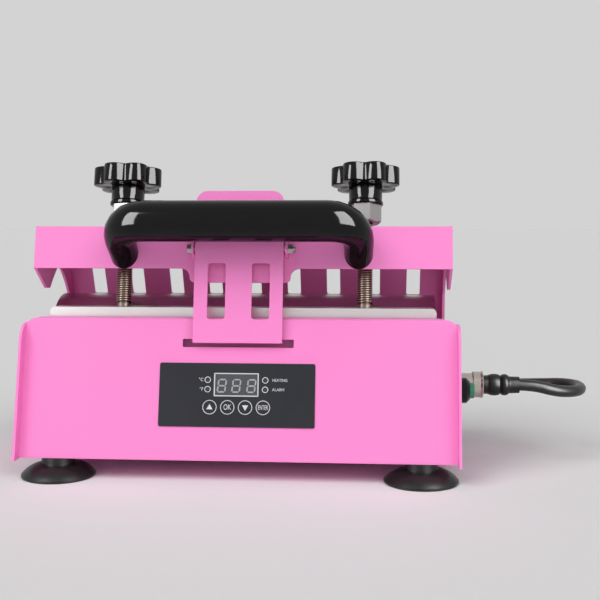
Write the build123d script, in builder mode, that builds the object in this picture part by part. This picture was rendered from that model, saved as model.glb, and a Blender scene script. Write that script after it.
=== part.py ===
from build123d import *
import math
import os

os.makedirs("parts", exist_ok=True)

# Machine frame while building: X = 0 is the middle, Y grows to the back, Z = 0 is the table.
# Every node is moved by one shift at the end, so that the origin is the bottom centre of the box.

# Base dimensions
SIDE_SPACE = 16.6
BAY_HALF = 148.4
HALF_WIDTH = BAY_HALF + SIDE_SPACE
SIDE_SHEET = 2.0
SHEET = 1.5
LEAN = 13.0
PANEL_FOOT_Y = 18.6
PANEL_FOOT_Z = 17.6
PANEL_TOP_Z = 119.4
LIP_FOOT_Y = 8.8
LIP_FOOT_Z = 15.5
SIDE_TOP_Z = 115.4
SIDE_ROUND = 16.0
SIDE_BACK_Z = 106.0
NOTCH_HALF = 40.0
NOTCH_Z = 80.0
NOTCH_R = 16.0
BACK_Y = 180.0
BACK_TOP_Z = 98.0
DECK_Z = 84.0
FLANGE_BACK_Y = 50.6
CORNER_R = 10.7
CORNER_IN = 8.8
SLOT_HALF = 41.85
SLOT_H = 6.2
SLOT_V = 38.75

# Tumbler bay
BAY_Y = 92.0
BAY_Z = 94.5
SHELL_R = 40.0
SHELL_T = 1.5
PAD_OUT_R = SHELL_R - SHELL_T - 0.8
PAD_IN_R = PAD_OUT_R - 1.1
MAT_OUT_R = PAD_IN_R - 0.2
MAT_IN_R = MAT_OUT_R - 1.4
SPLIT_Z = 97.9
WALL_IN = BAY_HALF
FLANGE_W = 9.2

# Hood
TILT = 12.5
HOOD_GAP = 5.0
HOOD_HALF = HALF_WIDTH - HOOD_GAP
HOOD_TOP_Y = 58.4
HOOD_TOP_Z = 188.8
LIP_DROP = 32.8
TAB_HALF = 38.5
HOOD_REAR_Y = 133.0
REAR_END = (159.5, 110.0)
HINGE_Y = 148.0
HINGE_Z = 97.0
HINGE_R = 4.0
RUN_FIT = 0.05

# Screws and knobs
ROD_X = 94.3
ROD_R = 6.0
KNOB_Y = 89.9
KNOB_Z = 226.0
KNOB_HALF_T = 7.0
HUB_R = 13.8
HUB_DROP = 22.25
JAM_DROP = 36.25
JAM_R = 12.7
TIP_LIFT = 1.196
ROD_CHAMFER = 1.5
ROD_CLEAR = 0.4
SEAT_R = 5.7
SPIGOT_R = 2.2
SPIGOT_LEN = 0.9
LOBES = 7

# Latch
PIVOT_Y = 50.6
PIVOT_Z = 171.8
STRAP_CLOSED = 8.0
STRAP_SWUNG = 3.2
STRAP_FACE = 4.4
STRAP_UP = 43.6
STRAP_DOWN = 71.8
STRAP_HALF = 33.5
STRAP_T = 1.5
NOSE_GAP = 0.35
EAR_BACK = 3.45

# Control panel, measured along the leaning face from its own centre
PANEL_MID_Z = 63.5
OVERLAY = (116.6, 47.4)
OVERLAY_T = 0.8
KEY_R = 5.4
KEY_V = -9.1
KEY_U = {"key_up": -20.0, "key_ok": -6.7, "key_down": 6.6, "key_enter": 19.9}
LED_R = 2.2
LED_SPOTS = [(-21.9, 11.2), (-21.9, 4.2), (21.2, 11.2), (21.2, 4.2)]
WINDOW = (34.3, 17.8)
WINDOW_AT = (-0.6, 7.7)

# Right side fittings
SOCKET_Y = 85.0
SOCKET_Z = 64.8
BUTTON_Y = 49.0
BUTTON_Z = 66.0
CAP_R = 6.0
GROMMET_Y = 150.0
GROMMET_Z = 56.0
LEAD_R = 4.5
FITTING_BACK_X = HALF_WIDTH - 13.0
RING_X = HALF_WIDTH + 13.4
BOOT_X = RING_X + 8.1
BOOT_END_X = BOOT_X + 28.3

FOOT_X = BAY_HALF - 11.6
FOOT_FRONT_Y = 31.0
FOOT_REAR_Y = BACK_Y - 22.0
FOOT_R = 27.7

lean_tan = math.tan(math.radians(LEAN))
tilt_tan = math.tan(math.radians(TILT))
lean_cos = math.cos(math.radians(LEAN))
lean_sin = math.sin(math.radians(LEAN))
tilt_cos = math.cos(math.radians(TILT))
tilt_sin = math.sin(math.radians(TILT))
INNER_HALF = HALF_WIDTH - SIDE_SHEET
CHEEK_IN = HOOD_HALF - SIDE_SHEET

# How far the screws reach down their axis, to a point that lies TIP_LIFT off the shell
axis_rise = (KNOB_Y - BAY_Y) * tilt_sin + (KNOB_Z - BAY_Z) * tilt_cos
axis_miss = (KNOB_Y - BAY_Y) * tilt_cos - (KNOB_Z - BAY_Z) * tilt_sin
ROD_DROP = axis_rise - math.sqrt((SHELL_R + TIP_LIFT) ** 2 - axis_miss ** 2)

nodes = {}


def face_y(z):
    """Front face of the leaning control panel at height z."""
    return PANEL_FOOT_Y + (z - PANEL_FOOT_Z) * lean_tan


def lip_y(z):
    """Front edge of the side plates at height z."""
    return LIP_FOOT_Y + (z - LIP_FOOT_Z) * lean_tan


def bent_sheet(points, thickness):
    """Closed outline of a bent sheet from its outer line, thickness on the right-hand side."""
    inner = []
    count = len(points)
    for i in range(count):
        before = points[max(i - 1, 0)]
        here = points[i]
        after = points[min(i + 1, count - 1)]
        d1 = (here[0] - before[0], here[1] - before[1]) if i > 0 else None
        d2 = (after[0] - here[0], after[1] - here[1]) if i < count - 1 else None
        d1 = d1 or d2
        d2 = d2 or d1
        n1 = (d1[1] / math.hypot(*d1), -d1[0] / math.hypot(*d1))
        n2 = (d2[1] / math.hypot(*d2), -d2[0] / math.hypot(*d2))
        mid = (n1[0] + n2[0], n1[1] + n2[1])
        scale = thickness * 2 / (mid[0] ** 2 + mid[1] ** 2)
        inner.append((here[0] + mid[0] * scale, here[1] + mid[1] * scale))
    return points + inner[::-1]


def panel_plane():
    """Plane on the control panel: x to the right, y up the slope, z out of the face."""
    return Plane(
        origin=(0, face_y(PANEL_MID_Z), PANEL_MID_Z),
        x_dir=(1, 0, 0),
        z_dir=(0, -lean_cos, lean_sin),
    )


def lip_plane(z):
    """Plane on the hood's front lip at height z: y up the lip, z out of the face."""
    y = HOOD_TOP_Y - (HOOD_TOP_Z - z) * tilt_tan
    return Plane(origin=(0, y, z), x_dir=(1, 0, 0), z_dir=(0, -tilt_cos, tilt_sin))


def axis_plane(x, s):
    """Plane square to a knob's screw, s above the middle of the knob's head."""
    return Plane(
        origin=(x, KNOB_Y + s * tilt_sin, KNOB_Z + s * tilt_cos),
        x_dir=(1, 0, 0),
        z_dir=(0, tilt_sin, tilt_cos),
    )


def screw_side(x):
    """Plane through a knob's screw: sketch x is X, sketch y runs along the screw."""
    return Plane(origin=(x, KNOB_Y, KNOB_Z), x_dir=(1, 0, 0), z_dir=(0, -tilt_cos, tilt_sin))


def side_plane(x):
    """Plane square to X: sketch x is Y, sketch y is Z."""
    return Plane(origin=(x, 0, 0), x_dir=(0, 1, 0), z_dir=(1, 0, 0))


def keep(name, part):
    """Store a finished node under its name."""
    part.label = name
    nodes[name] = part


# Base: front panel with the latch slot and the display opening
with BuildPart() as front_panel:
    outer = [
        (face_y(PANEL_FOOT_Z), PANEL_FOOT_Z),
        (face_y(PANEL_TOP_Z), PANEL_TOP_Z),
        (FLANGE_BACK_Y, PANEL_TOP_Z),
        (FLANGE_BACK_Y, BAY_Z),
    ]
    with BuildSketch(side_plane(-INNER_HALF)):
        with BuildLine():
            Polyline(bent_sheet(outer, SHEET), close=True)
        make_face()
    extrude(amount=2 * INNER_HALF)
    with BuildSketch(Plane.XY.offset(PANEL_FOOT_Z)):
        with Locations((0, face_y(PANEL_FOOT_Z))):
            Rectangle(2 * HALF_WIDTH, 20)
    extrude(amount=-5, mode=Mode.SUBTRACT)
    bend = front_panel.edges().filter_by(Axis.X).sort_by_distance((0, face_y(PANEL_TOP_Z), PANEL_TOP_Z))[0]
    fillet(bend, 3.0)
    with BuildSketch(panel_plane()):
        with Locations((0, SLOT_V)):
            RectangleRounded(2 * SLOT_HALF, SLOT_H, 0.9)
        Rectangle(100, 36)
    extrude(amount=6, both=True, mode=Mode.SUBTRACT)
    slope_top = (PANEL_TOP_Z - PANEL_MID_Z) / lean_cos
    with BuildSketch(panel_plane()):
        for side in (-1, 1):
            with Locations((side * (INNER_HALF - CORNER_IN / 2 + 1), slope_top - CORNER_R / 2 + 3)):
                Rectangle(CORNER_IN + 2, CORNER_R + 6)
        for side in (-1, 1):
            with Locations((side * (INNER_HALF - CORNER_IN), slope_top - CORNER_R)):
                Circle(CORNER_R, mode=Mode.SUBTRACT)
    extrude(amount=16, both=True, mode=Mode.SUBTRACT)
keep("front_panel", front_panel.part)

# Base: side plates with the front lip
right_holes = [(BUTTON_Y, BUTTON_Z, 8.1), (SOCKET_Y, SOCKET_Z, 8.05), (GROMMET_Y, GROMMET_Z, 8.0)]
for name, start in (("side_plate_left", -HALF_WIDTH), ("side_plate_right", INNER_HALF)):
    with BuildPart() as side_plate:
        with BuildSketch(side_plane(start)) as profile:
            with BuildLine():
                Polyline(
                    [
                        (lip_y(LIP_FOOT_Z), LIP_FOOT_Z),
                        (lip_y(SIDE_TOP_Z), SIDE_TOP_Z),
                        (BAY_Y, SIDE_TOP_Z),
                        (BAY_Y, SIDE_BACK_Z),
                        (BACK_Y - 10, SIDE_BACK_Z),
                        (BACK_Y, BACK_TOP_Z),
                        (BACK_Y, LIP_FOOT_Z),
                    ],
                    close=True,
                )
            make_face()
            front_top = profile.vertices().sort_by_distance((lip_y(SIDE_TOP_Z), SIDE_TOP_Z, 0))[0]
            fillet(front_top, SIDE_ROUND)
            with Locations((BAY_Y, NOTCH_Z + 30)):
                RectangleRounded(2 * NOTCH_HALF, 60, NOTCH_R, mode=Mode.SUBTRACT)
            with Locations((BAY_Y, NOTCH_Z + 40)):
                Rectangle(2 * NOTCH_HALF, 40, mode=Mode.SUBTRACT)
            with Locations((HINGE_Y, HINGE_Z)):
                Circle(HINGE_R + RUN_FIT, mode=Mode.SUBTRACT)
            if name == "side_plate_right":
                for hole_y, hole_z, hole_r in right_holes:
                    with Locations((hole_y, hole_z)):
                        Circle(hole_r, mode=Mode.SUBTRACT)
        extrude(amount=SIDE_SHEET)
    keep(name, side_plate.part)

# Base: floor, back and rear deck sheets
floor_front = face_y(PANEL_FOOT_Z)
with BuildPart() as floor_pan:
    with BuildSketch(Plane.XY.offset(PANEL_FOOT_Z - SHEET)):
        with Locations((0, (floor_front + BACK_Y) / 2)):
            Rectangle(2 * INNER_HALF, BACK_Y - floor_front)
        for y in (FOOT_FRONT_Y, FOOT_REAR_Y):
            with Locations((-FOOT_X, y), (FOOT_X, y)):
                Circle(4.2, mode=Mode.SUBTRACT)
        with Locations((0, 92)):
            with GridLocations(12, 40, 15, 2):
                SlotOverall(26, 4, rotation=90, mode=Mode.SUBTRACT)
    extrude(amount=SHEET)
keep("floor_pan", floor_pan.part)

INLET_X = -105.0
INLET_Z = 50.0
with BuildPart() as rear_panel:
    with BuildSketch(Plane(origin=(0, BACK_Y, 0), x_dir=(1, 0, 0), z_dir=(0, -1, 0))):
        with Locations((0, (PANEL_FOOT_Z + BACK_TOP_Z) / 2)):
            Rectangle(2 * INNER_HALF, BACK_TOP_Z - PANEL_FOOT_Z)
        with Locations((INLET_X, INLET_Z)):
            Rectangle(28, 20.5, mode=Mode.SUBTRACT)
        with Locations((INLET_X - 20, INLET_Z), (INLET_X + 20, INLET_Z)):
            Circle(1.7, mode=Mode.SUBTRACT)
        with Locations((55, 52)):
            with GridLocations(10, 0, 12, 1):
                SlotOverall(34, 4, rotation=90, mode=Mode.SUBTRACT)
    extrude(amount=SHEET)
keep("rear_panel", rear_panel.part)

deck_front = BAY_Y + SHELL_R + 0.6
with BuildPart() as rear_deck:
    outer = [(deck_front, BAY_Z - SHELL_T), (deck_front, DECK_Z), (BACK_Y - SHEET, DECK_Z)]
    with BuildSketch(side_plane(-WALL_IN)):
        with BuildLine():
            Polyline(bent_sheet(outer[::-1], SHEET), close=True)
        make_face()
    extrude(amount=2 * WALL_IN)
keep("rear_deck", rear_deck.part)

for name, start in (("end_wall_left", -WALL_IN - SHEET), ("end_wall_right", WALL_IN)):
    with BuildPart() as end_wall:
        with BuildSketch(side_plane(start)):
            with BuildLine():
                Polyline(
                    [
                        (face_y(PANEL_FOOT_Z) + SHEET / lean_cos, PANEL_FOOT_Z),
                        (face_y(BAY_Z) + SHEET / lean_cos, BAY_Z),
                        (deck_front + SHEET, BAY_Z),
                        (deck_front + SHEET, DECK_Z),
                        (BACK_Y - SHEET, DECK_Z),
                        (BACK_Y - SHEET, PANEL_FOOT_Z),
                    ],
                    close=True,
                )
            make_face()
            with Locations((BAY_Y, BAY_Z)):
                Circle(SHELL_R - SHELL_T - 0.3, mode=Mode.SUBTRACT)
        extrude(amount=SHEET)
    keep(name, end_wall.part)

# Lower heater: trough shell, felt pad and heating mat
with BuildPart() as lower_shell:
    with BuildSketch(side_plane(-BAY_HALF)):
        with Locations((BAY_Y, BAY_Z)):
            Circle(SHELL_R)
            Circle(SHELL_R - SHELL_T, mode=Mode.SUBTRACT)
            with Locations((0, 25)):
                Rectangle(100, 50, mode=Mode.SUBTRACT)
            for side in (-1, 1):
                with Locations((side * (SHELL_R - 1.2 + FLANGE_W / 2), -SHELL_T / 2)):
                    Rectangle(FLANGE_W, SHELL_T)
    extrude(amount=2 * BAY_HALF)
keep("lower_shell", lower_shell.part)

for name, outer_r, inner_r in (
    ("lower_felt_pad", PAD_OUT_R, PAD_IN_R),
    ("lower_heating_mat", MAT_OUT_R, MAT_IN_R),
):
    with BuildPart() as lining:
        with BuildSketch(side_plane(-BAY_HALF + 0.4)):
            with Locations((BAY_Y, BAY_Z)):
                Circle(outer_r)
                Circle(inner_r, mode=Mode.SUBTRACT)
                with Locations((0, 24.8)):
                    Rectangle(100, 50, mode=Mode.SUBTRACT)
        extrude(amount=2 * BAY_HALF - 0.8)
    keep(name, lining.part)

# Control panel: overlay, window, display, lamps, board, switches and keys
with BuildPart() as control_overlay:
    with BuildSketch(panel_plane()) as overlay_face:
        RectangleRounded(OVERLAY[0], OVERLAY[1], 1.4)
        with Locations(WINDOW_AT):
            Rectangle(WINDOW[0], WINDOW[1], mode=Mode.SUBTRACT)
        for spot in LED_SPOTS:
            with Locations(spot):
                Circle(LED_R + 0.1, mode=Mode.SUBTRACT)
        for u in KEY_U.values():
            with Locations((u, KEY_V)):
                Circle(KEY_R + 0.08, mode=Mode.SUBTRACT)
    extrude(amount=OVERLAY_T)
keep("control_overlay", control_overlay.part)

with BuildPart() as display_window:
    with BuildSketch(panel_plane()):
        with Locations(WINDOW_AT):
            Rectangle(WINDOW[0], WINDOW[1])
    extrude(amount=OVERLAY_T - 0.1)
keep("display_window", display_window.part)

with BuildPart() as display_module:
    with BuildSketch(panel_plane()):
        with Locations(WINDOW_AT):
            Rectangle(36.6, 19.6)
    extrude(amount=-7.6)
keep("display_module", display_module.part)

with BuildPart() as led_lenses:
    with BuildSketch(panel_plane().offset(-7.6)):
        for spot in LED_SPOTS:
            with Locations(spot):
                Circle(LED_R)
    extrude(amount=7.6 + OVERLAY_T)
keep("led_lenses", led_lenses.part)

with BuildPart() as control_board:
    with BuildSketch(panel_plane().offset(-9.2)):
        Rectangle(112, 35)
    extrude(amount=1.6)
keep("control_board", control_board.part)

with BuildPart() as board_spacers:
    with BuildSketch(panel_plane().offset(-7.6)):
        with GridLocations(106.4, 28, 2, 2):
            Circle(2.4)
    extrude(amount=7.6 - SHEET)
keep("board_spacers", board_spacers.part)

with BuildPart() as key_switches:
    with BuildSketch(panel_plane().offset(-7.6)):
        for u in KEY_U.values():
            with Locations((u, KEY_V)):
                Rectangle(6, 6)
    extrude(amount=2.0)
keep("key_switches", key_switches.part)

for name, u in KEY_U.items():
    with BuildPart() as key:
        with BuildSketch(panel_plane().offset(-0.6)):
            with Locations((u, KEY_V)):
                Circle(KEY_R)
        extrude(amount=0.6 + OVERLAY_T + 0.15)
        with BuildSketch(panel_plane().offset(-4.9)):
            with Locations((u, KEY_V)):
                Circle(1.6)
        extrude(amount=4.4)
    keep(name, key.part)

# Right side: power button and its bezel
with BuildPart() as power_bezel:
    with BuildSketch(side_plane(FITTING_BACK_X)):
        with Locations((BUTTON_Y, BUTTON_Z)):
            Circle(8.0)
    extrude(amount=HALF_WIDTH - FITTING_BACK_X)
    with BuildSketch(side_plane(HALF_WIDTH)):
        with Locations((BUTTON_Y, BUTTON_Z)):
            Circle(9.6)
    extrude(amount=8.0)
    chamfer(power_bezel.edges().filter_by(GeomType.CIRCLE).sort_by(Axis.X)[-1], 2.4)
    with BuildSketch(side_plane(HALF_WIDTH + 8.0)):
        with Locations((BUTTON_Y, BUTTON_Z)):
            Circle(CAP_R + RUN_FIT)
    extrude(amount=-9.0, mode=Mode.SUBTRACT)
keep("power_bezel", power_bezel.part)

with BuildPart() as power_button:
    with BuildSketch(side_plane(HALF_WIDTH + 2.2)):
        with Locations((BUTTON_Y, BUTTON_Z)):
            Circle(CAP_R)
    extrude(amount=9.4)
    fillet(power_button.edges().filter_by(GeomType.CIRCLE).sort_by(Axis.X)[-1], 0.9)
keep("power_button", power_button.part)

# Right side: panel socket, plug ring, ribbed plug boot, heater lead and its grommet
with BuildPart() as lead_socket:
    with BuildSketch(side_plane(FITTING_BACK_X + 2.0)):
        with Locations((SOCKET_Y, SOCKET_Z)):
            Circle(8.0)
    extrude(amount=RING_X - FITTING_BACK_X - 2.0)
    with BuildSketch(side_plane(HALF_WIDTH)):
        with Locations((SOCKET_Y, SOCKET_Z)):
            Circle(9.6)
    extrude(amount=1.4)
    with BuildSketch(side_plane(HALF_WIDTH)):
        with Locations((SOCKET_Y, SOCKET_Z)):
            Circle(8.9)
    extrude(amount=RING_X - HALF_WIDTH)
keep("lead_socket", lead_socket.part)

with BuildPart() as panel_nuts:
    with BuildSketch(side_plane(INNER_HALF)):
        for nut_y, nut_z in ((BUTTON_Y, BUTTON_Z), (SOCKET_Y, SOCKET_Z)):
            with Locations((nut_y, nut_z)):
                RegularPolygon(11.4, 6)
                Circle(8.03, mode=Mode.SUBTRACT)
    extrude(amount=-4.0)
keep("panel_nuts", panel_nuts.part)

with BuildPart() as plug_ring:
    with BuildSketch(Plane(origin=(0, SOCKET_Y, SOCKET_Z), x_dir=(1, 0, 0), z_dir=(0, -1, 0))):
        with BuildLine():
            Polyline(
                [
                    (RING_X, 6.6), (RING_X, 9.7), (RING_X + 0.6, 10.1), (BOOT_X - 2.0, 10.1),
                    (BOOT_X - 0.6, 10.6), (BOOT_X, 10.2), (BOOT_X, 6.6),
                ],
                close=True,
            )
        make_face()
    revolve(axis=Axis((0, SOCKET_Y, SOCKET_Z), (1, 0, 0)))
keep("plug_ring", plug_ring.part)

with BuildPart() as plug_boot:
    with BuildSketch(Plane(origin=(0, SOCKET_Y, SOCKET_Z), x_dir=(1, 0, 0), z_dir=(0, -1, 0))):
        with BuildLine():
            Polyline((RING_X, 0), (RING_X, 6.5), (BOOT_X, 6.5), (BOOT_X, 7.3), (BOOT_X + 3.9, 7.3))
            ThreePointArc((BOOT_X + 3.9, 7.3), (BOOT_X + 8.1, 8.5), (BOOT_X + 12.7, 7.9))
            Line((BOOT_X + 12.7, 7.9), (BOOT_X + 13.7, 6.9))
            ThreePointArc((BOOT_X + 13.7, 6.9), (BOOT_X + 16.9, 8.4), (BOOT_X + 20.3, 6.9))
            Polyline((BOOT_X + 20.3, 6.9), (BOOT_X + 21.1, 6.6), (BOOT_END_X, 6.4), (BOOT_END_X, 0))
            Line((BOOT_END_X, 0), (RING_X, 0))
        make_face()
    revolve(axis=Axis((0, SOCKET_Y, SOCKET_Z), (1, 0, 0)))
keep("plug_boot", plug_boot.part)

GROMMET_END_X = HALF_WIDTH + 5.0
lead_points = [
    (BOOT_END_X, SOCKET_Y, SOCKET_Z),
    (BOOT_END_X + 11.0, SOCKET_Y, SOCKET_Z),
    (BOOT_END_X + 28.5, SOCKET_Y, SOCKET_Z - 4.6),
    (BOOT_END_X + 44.5, SOCKET_Y + 8.7, SOCKET_Z - 6.2),
    (BOOT_END_X + 53.2, SOCKET_Y + 23.8, SOCKET_Z - 6.4),
    (BOOT_END_X + 53.2, GROMMET_Y - 23.8, GROMMET_Z + 2.4),
    (BOOT_END_X + 44.5, GROMMET_Y - 8.7, GROMMET_Z + 1.8),
    (BOOT_END_X + 29.4, GROMMET_Y, GROMMET_Z),
    (BOOT_END_X - 1.6, GROMMET_Y + 0.3, GROMMET_Z - 0.8),
    (BOOT_END_X - 24.6, GROMMET_Y, GROMMET_Z),
    (GROMMET_END_X, GROMMET_Y, GROMMET_Z),
]
lead_radii = []
for i in range(1, len(lead_points) - 1):
    run_in = Vector(*lead_points[i]) - Vector(*lead_points[i - 1])
    run_out = Vector(*lead_points[i + 1]) - Vector(*lead_points[i])
    half_turn = math.radians(run_in.get_angle(run_out)) / 2
    lead_radii.append(0.45 * min(run_in.length, run_out.length) / math.tan(half_turn))
print("lead arc radii", [round(r, 1) for r in lead_radii])
with BuildPart() as heater_lead:
    with BuildLine() as lead_path:
        FilletPolyline(*lead_points, radius=lead_radii)
    with BuildSketch(Plane(origin=lead_points[0], z_dir=lead_path.wires()[0] % 0)):
        Circle(LEAD_R)
    sweep()
lead_length = lead_path.wires()[0].length
lead_section = math.pi * LEAD_R ** 2
print("lead length", round(lead_length, 1), "volume ratio", round(heater_lead.part.volume / lead_section / lead_length, 4))
keep("heater_lead", heater_lead.part)

with BuildPart() as lead_grommet:
    with BuildSketch(Plane(origin=(0, GROMMET_Y, GROMMET_Z), x_dir=(1, 0, 0), z_dir=(0, -1, 0))):
        with BuildLine():
            Polyline(
                [
                    (GROMMET_END_X, 0), (GROMMET_END_X, 6.6), (HALF_WIDTH, 9.4), (HALF_WIDTH, 7.95),
                    (INNER_HALF, 7.95), (INNER_HALF, 9.4), (INNER_HALF - 2, 9.4), (INNER_HALF - 2, 0),
                ],
                close=True,
            )
        make_face()
    revolve(axis=Axis((0, GROMMET_Y, GROMMET_Z), (1, 0, 0)))
keep("lead_grommet", lead_grommet.part)

# Back: mains inlet with its two screws
with BuildPart() as mains_inlet:
    inlet_plane = Plane(origin=(INLET_X, BACK_Y, INLET_Z), x_dir=(1, 0, 0), z_dir=(0, 1, 0))
    with BuildSketch(inlet_plane):
        RectangleRounded(48, 24, 3)
        with Locations((-20, 0), (20, 0)):
            Circle(1.7, mode=Mode.SUBTRACT)
    extrude(amount=2.6)
    with BuildSketch(inlet_plane.offset(-17.0)):
        Rectangle(27.6, 20)
    extrude(amount=17.0)
    with BuildSketch(inlet_plane.offset(2.6)):
        RectangleRounded(24, 16, 3)
    extrude(amount=-15.0, mode=Mode.SUBTRACT)
    with BuildSketch(inlet_plane.offset(-12.4)):
        with Locations((-7, 1.5), (0, -1.5), (7, 1.5)):
            Rectangle(2, 4)
    extrude(amount=12.0)
keep("mains_inlet", mains_inlet.part)

with BuildPart() as inlet_screws:
    inlet_plane = Plane(origin=(INLET_X, BACK_Y + 2.6, INLET_Z), x_dir=(1, 0, 0), z_dir=(0, 1, 0))
    with BuildSketch(inlet_plane):
        with Locations((-20, 0), (20, 0)):
            Circle(3.0)
    extrude(amount=1.8)
    with BuildSketch(inlet_plane):
        with Locations((-20, 0), (20, 0)):
            Circle(1.6)
    extrude(amount=-9.0)
keep("inlet_screws", inlet_screws.part)

# Feet: rubber suction cups on studs with nuts inside the base
floor_under = PANEL_FOOT_Z - SHEET
foot_spots = [(side * FOOT_X, y) for y in (FOOT_FRONT_Y, FOOT_REAR_Y) for side in (-1, 1)]
with BuildPart() as feet:
    for foot_x, foot_y in foot_spots:
        with BuildSketch(Plane(origin=(foot_x, foot_y, 0), x_dir=(1, 0, 0), z_dir=(0, -1, 0))):
            with BuildLine():
                Polyline((4.0, floor_under), (4.0, 8.0), (0, 8.0), (0, 4.6))
                ThreePointArc((0, 4.6), (13.0, 3.4), (23.5, 0))
                Polyline((23.5, 0), (FOOT_R - 0.7, 0), (FOOT_R, 0.8), (FOOT_R, 2.2))
                ThreePointArc((FOOT_R, 2.2), (21.5, 7.6), (12.4, 10.2))
                Polyline((12.4, 10.2), (12.4, floor_under), (4.0, floor_under))
            make_face()
        revolve(axis=Axis((foot_x, foot_y, 0), (0, 0, 1)))
keep("feet", feet.part)

with BuildPart() as foot_studs:
    with BuildSketch(Plane.XY.offset(8.0)):
        with Locations(*foot_spots):
            Circle(3.95)
    extrude(amount=18.6)
keep("foot_studs", foot_studs.part)

with BuildPart() as foot_nuts:
    with BuildSketch(Plane.XY.offset(PANEL_FOOT_Z)):
        with Locations(*foot_spots):
            RegularPolygon(7.5, 6)
            Circle(4.0, mode=Mode.SUBTRACT)
    extrude(amount=6.4)
keep("foot_nuts", foot_nuts.part)

# Hinge: shoulder bolts from outside the side plates with nuts on the inner side
with BuildPart() as hinge_bolts:
    for side in (-1, 1):
        with BuildSketch(side_plane(side * HALF_WIDTH)):
            with Locations((HINGE_Y, HINGE_Z)):
                Circle(7.0)
        extrude(amount=side * 3.2)
        with BuildSketch(side_plane(side * HALF_WIDTH)):
            with Locations((HINGE_Y, HINGE_Z)):
                Circle(HINGE_R)
        extrude(amount=-side * 12.6)
keep("hinge_bolts", hinge_bolts.part)

with BuildPart() as hinge_washers:
    for side in (-1, 1):
        with BuildSketch(side_plane(side * INNER_HALF)):
            with Locations((HINGE_Y, HINGE_Z)):
                Circle(9.0)
                Circle(HINGE_R + 0.03, mode=Mode.SUBTRACT)
        extrude(amount=-side * (INNER_HALF - HOOD_HALF - 0.05))
keep("hinge_washers", hinge_washers.part)

with BuildPart() as hinge_nuts:
    for side in (-1, 1):
        with BuildSketch(side_plane(side * (CHEEK_IN - 0.4))):
            with Locations((HINGE_Y, HINGE_Z)):
                RegularPolygon(7.5, 6)
                Circle(HINGE_R + 0.03, mode=Mode.SUBTRACT)
        extrude(amount=-side * 4.6)
keep("hinge_nuts", hinge_nuts.part)

# Hood: one bent sheet with front lip, top and slotted back
plate_drop = (KNOB_Y - HOOD_TOP_Y) * tilt_sin + (KNOB_Z - HOOD_TOP_Z) * tilt_cos
PLATE_S = -plate_drop - SHEET
rear_top_z = HOOD_TOP_Z - (HOOD_REAR_Y - HOOD_TOP_Y) * tilt_tan
lip_end = (HOOD_TOP_Y - (LIP_DROP * tilt_sin), HOOD_TOP_Z - LIP_DROP * tilt_cos)
rear_run = (REAR_END[0] - HOOD_REAR_Y, REAR_END[1] - rear_top_z)
rear_slope = math.hypot(*rear_run)
rear_plane = Plane(
    origin=(0, REAR_END[0], REAR_END[1]),
    x_dir=(1, 0, 0),
    z_dir=(0, -rear_run[1] / rear_slope, rear_run[0] / rear_slope),
)
SLOT_PITCH = 33.54
SLOT_WIDTH = 11.2
SLOT_FROM = 22.8
SLOT_LONG = 34.7
with BuildPart() as hood_shell:
    outer = [lip_end, (HOOD_TOP_Y, HOOD_TOP_Z), (HOOD_REAR_Y, rear_top_z), REAR_END]
    with BuildSketch(side_plane(-CHEEK_IN)):
        with BuildLine():
            Polyline(bent_sheet(outer, SHEET), close=True)
        make_face()
    extrude(amount=2 * CHEEK_IN)
    rear_bend = hood_shell.edges().filter_by(Axis.X).sort_by_distance((0, HOOD_REAR_Y, rear_top_z))[0]
    fillet(rear_bend, 2.6)
    front_bend = hood_shell.edges().filter_by(Axis.X).sort_by_distance((0, HOOD_TOP_Y, HOOD_TOP_Z))[0]
    fillet(front_bend, 1.4)
    with BuildSketch(lip_plane(lip_end[1])):
        with BuildLine():
            Polyline((-TAB_HALF - 7, 0), (-TAB_HALF - 7, 5), (TAB_HALF + 7, 5), (TAB_HALF + 7, 0))
            for side in (-1, 1):
                ThreePointArc(
                    (side * (TAB_HALF + 7), 0), (side * (TAB_HALF + 2.05), -2.05), (side * TAB_HALF, -7)
                )
                ThreePointArc(
                    (side * TAB_HALF, -7), (side * (TAB_HALF - 1.13), -9.73), (side * (TAB_HALF - 3.86), -10.86)
                )
            Line((-TAB_HALF + 3.86, -10.86), (TAB_HALF - 3.86, -10.86))
        make_face()
    extrude(amount=-SHEET)
    with BuildSketch(rear_plane):
        with Locations((0, -SLOT_FROM - SLOT_LONG / 2)):
            with GridLocations(SLOT_PITCH, 0, 9, 1):
                RectangleRounded(SLOT_WIDTH, SLOT_LONG, 1.6)
    extrude(amount=6, both=True, mode=Mode.SUBTRACT)
    for side in (-1, 1):
        with BuildSketch(axis_plane(side * ROD_X, PLATE_S - 4)):
            Circle(6.6)
        extrude(amount=12, mode=Mode.SUBTRACT)
    with BuildSketch(lip_plane(168.4)):
        with Locations((-89.7, 0), (89.7, 0)):
            Circle(3.3)
    extrude(amount=4, both=True, mode=Mode.SUBTRACT)
keep("hood_shell", hood_shell.part)

CHEEK_TIP = (74.8, 139.8)
CHEEK_ARCH = [(83.6, 139.2), (88.9, 144.1), (96.2, 149.7), (106.5, 155.4), (120.3, 148.3), (128.5, 139.8), (134.2, 131.9)]

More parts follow.
